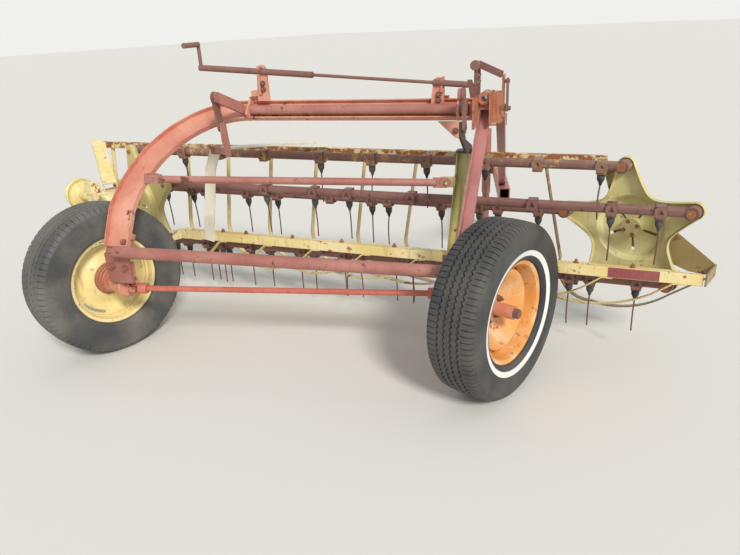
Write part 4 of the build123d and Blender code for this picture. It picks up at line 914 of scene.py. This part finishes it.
# Bars: five steel tubes with an eye at each end, rusted purple brown. Each carries square clamps
# round it, and under a clamp one or two spring wire teeth stand in black rubber holders.
bar_and_cream = paint(
    "bar_rust_and_cream", (122, 88, 80), (138, 104, 94), rust=(214, 180, 112), dark=(170, 110, 62),
    wear=0.5, gloss=0.4,
)
bar_rust = paint(
    "bar_rust", (126, 88, 80), (144, 106, 96), rust=(104, 66, 56), dark=(84, 58, 56), wear=0.5, gloss=0.4
)
wire = paint(
    "tooth_wire", (96, 72, 64), (118, 92, 80), rust=(140, 84, 56), dark=(64, 48, 46), wear=0.5, gloss=0.4
)
holder_rubber = coat(
    "holder_rubber", RUBBER_GROUP, {"Rubber": shade(44, 46, 48), "Amount": 0.45, "Scale": 9.0}
)
STATIONS = (
    # from the left: 2 two teeth, L, M or R one tooth at the left, middle or right, C a clamp with no tooth
    "RCCRRR2CM", "CRRLCLCRL", "2LC2R2C2L", "22R2L22RC", "R2RLC2R2L",
)
BAR_LENGTH = 2.504
STATION_PITCH = 0.270
STATION_SHIFT = 0.100
CLAMP_HALF_WIDTH = 0.020
CLAMP_HALF = 0.024
CLAMP_FOOT = 0.008
PLATE_HALF = 0.0235
PLATE_THICK = 0.007
EYE_RADIUS = 0.013
BAR_HALF = 0.0203
TOOTH_HALF_GAP = 0.044
TOOTH_REACH = 0.228
WIRE_RADIUS = 0.0032
SOCKET = (
    # down the holder, radius
    (0.000, 0.0), (0.000, 0.0155), (0.004, 0.0165), (0.022, 0.0160), (0.029, 0.0145), (0.035, 0.0110),
    (0.040, 0.0080), (0.046, 0.0068), (0.051, 0.0052), (0.052, 0.0),
)
TOOTH_START = 0.046
TOOTH_SWAYS = (0.004, -0.007, 0.010, -0.003, 0.006, -0.012, 0.002)
SIDE_SWAY_SHARE = 0.4


def square_ring(place, way, half_width):
    """A square strap round the bar: four corners outside and four inside, at both of its edges."""
    side, up = square_to(way)
    low = -CLAMP_HALF - CLAMP_FOOT
    outer = np.array([
        (-CLAMP_HALF, low), (CLAMP_HALF, low), (CLAMP_HALF, CLAMP_HALF), (-CLAMP_HALF, CLAMP_HALF),
    ])
    inner = np.array([(-1, -1), (1, -1), (1, 1), (-1, 1)]) * BAR_HALF
    flat = np.stack([outer, outer, inner, inner], 1)
    reach = np.array([-1, 1, 1, -1]) * half_width
    points = place + flat[..., :1] * side + flat[..., 1:] * up + reach[None, :, None] * way
    return grid(points, closed_rows=True, closed_columns=True)


def eyed_plate(place):
    """A flat plate with a three-cornered hole: a ring of twelve points round each, front and back."""
    angle = np.arange(12) / 12 * 2 * math.pi + math.pi / 2
    ray = np.stack([np.cos(angle), np.sin(angle)], 1)
    square = ray / np.abs(ray).max(1)[:, None] * PLATE_HALF
    corner = (angle - math.pi / 2 + math.pi / 3) % (2 * math.pi / 3) - math.pi / 3
    hole = ray * (EYE_RADIUS / 2 / np.cos(math.pi / 3 - np.abs(corner)))[:, None]
    flat = np.stack([square, square, hole, hole], 1)
    proud = np.array([0, 1, 1, 0]) * PLATE_THICK
    points = place + flat[..., :1] * basket_way + flat[..., 1:] * UPWARDS
    points = points - proud[None, :, None] * basket_side
    return grid(points, closed_rows=True, closed_columns=True)


def wire_tube(path, radius, sides=8):
    """A round wire along a path: rings square to the path's own direction, closed at both ends."""
    path = np.asarray(path, float)
    way = np.gradient(path, axis=0)
    way /= np.linalg.norm(way, axis=1)[:, None]
    side = np.cross(way, basket_side)
    side /= np.linalg.norm(side, axis=1)[:, None]
    up = np.cross(side, way)
    turn = np.arange(sides) / sides * 2 * math.pi
    ring = np.cos(turn)[None, :, None] * side[:, None, :] + np.sin(turn)[None, :, None] * up[:, None, :]
    points = path[:, None, :] + radius * ring
    top = np.repeat(path[None, :1], sides, 1)
    tip = np.repeat(path[None, -1:], sides, 1)
    points = np.concatenate([top, points, tip], 0)
    return grid(points, closed_columns=True)


for number, kinds in enumerate(STATIONS, 1):
    look = bar_and_cream if number == 1 else bar_rust
    smooth_copy(f"bar_{number}", look)
    eye = np.array(joints[f"bar_{number}_hang"]["pos_m"])
    bar_middle = eye - basket_way * BAR_LENGTH / 2
    steel, rubbers, teeth = [], [], []
    for station, kind in enumerate(kinds):
        place = bar_middle + basket_way * ((station - (len(kinds) - 1) / 2) * STATION_PITCH + STATION_SHIFT)
        offsets = {"2": (-1, 1), "L": (-1,), "M": (-0.3,), "R": (1,), "C": ()}[kind]
        for hand in offsets or (0,):
            clamp = place + basket_way * hand * TOOTH_HALF_GAP
            steel.append(square_ring(clamp, basket_way, CLAMP_HALF_WIDTH))
            steel.append(eyed_plate(clamp - basket_side * CLAMP_HALF))
        for hand in offsets:
            shoulder = place + basket_way * hand * TOOTH_HALF_GAP - UPWARDS * (CLAMP_HALF + CLAMP_FOOT)
            rubbers.append(turned(SOCKET, shoulder, -UPWARDS, 16))
            drop = np.linspace(TOOTH_START, TOOTH_REACH - CLAMP_HALF - CLAMP_FOOT, 12)
            bent = TOOTH_SWAYS[(3 * number + 2 * station + round(hand)) % len(TOOTH_SWAYS)]
            share = (drop - drop[0]) / (drop[-1] - drop[0])
            path = shoulder - UPWARDS * drop[:, None] + basket_side * (bent * share ** 2)[:, None]
            path = path + basket_way * (SIDE_SWAY_SHARE * bent * np.sin(math.pi * share))[:, None]
            teeth.append(wire_tube(path, WIRE_RADIUS))
    body = f"bar_{number}"
    piece(f"clamps_{number}", steel, [look], body, [f"tines_{number}"])
    piece(f"rubber_holders_{number}", rubbers, [holder_rubber], body)
    piece(f"wire_teeth_{number}", teeth, [wire], body)


# Floor and light: a plain pale floor, a soft lamp on the right for the sun's side, and a pale sky.
FLOOR_REACH = 60.0
KEY_PLACE = (6.0, -3.2, 5.6)
KEY_AIM = (0.0, 0.0, 0.5)
floor_mesh = bpy.data.meshes.new("floor")
floor_mesh.from_pydata(
    [(-FLOOR_REACH, -FLOOR_REACH, 0), (FLOOR_REACH, -FLOOR_REACH, 0), (FLOOR_REACH, FLOOR_REACH, 0),
     (-FLOOR_REACH, FLOOR_REACH, 0)], [], [(0, 1, 2, 3)],
)
floor_look = bpy.data.materials.new("pale_floor")
floor_look.use_nodes = True
floor_look.node_tree.nodes["Principled BSDF"].inputs["Base Color"].default_value = shade(226, 224, 218)
floor_look.node_tree.nodes["Principled BSDF"].inputs["Roughness"].default_value = 0.9
floor_mesh.materials.append(floor_look)
floor = bpy.data.objects.new("floor", floor_mesh)
bpy.context.scene.collection.objects.link(floor)

lamp = bpy.data.lights.new("key", "SUN")
lamp.energy = 2.6
lamp.angle = math.radians(12)
lamp.color = (1.0, 0.97, 0.92)
key = bpy.data.objects.new("key", lamp)
toward = np.array(KEY_PLACE) - np.array(KEY_AIM)
toward /= np.linalg.norm(toward)
side, up = square_to(toward)
turned_to = np.eye(4)
turned_to[:3, 0] = side
turned_to[:3, 1] = up
turned_to[:3, 2] = toward
turned_to[:3, 3] = KEY_PLACE
key.matrix_world = Matrix(turned_to.tolist())
bpy.context.scene.collection.objects.link(key)

world = bpy.data.worlds.new("pale_sky")
bpy.context.scene.world = world
world.use_nodes = True
sky = world.node_tree
lit = sky.nodes["Background"]
lit.inputs["Color"].default_value = (0.94, 0.97, 1.0, 1.0)
lit.inputs["Strength"].default_value = 0.55
seen = node(sky, "Background", {"Color": shade(240, 240, 238), "Strength": 1.0})
ray = node(sky, "LightPath").outputs
mirrored = sums(sky, "MAXIMUM", ray["Is Glossy Ray"], ray["Is Transmission Ray"])
direct = sums(sky, "MAXIMUM", ray["Is Camera Ray"], mirrored)
both = node(sky, "MixShader", {0: direct, 1: lit.outputs[0], 2: seen.outputs[0]})
sky.links.new(both.outputs[0], sky.nodes["World Output"].inputs["Surface"])
bpy.context.scene.view_settings.view_transform = "Standard"
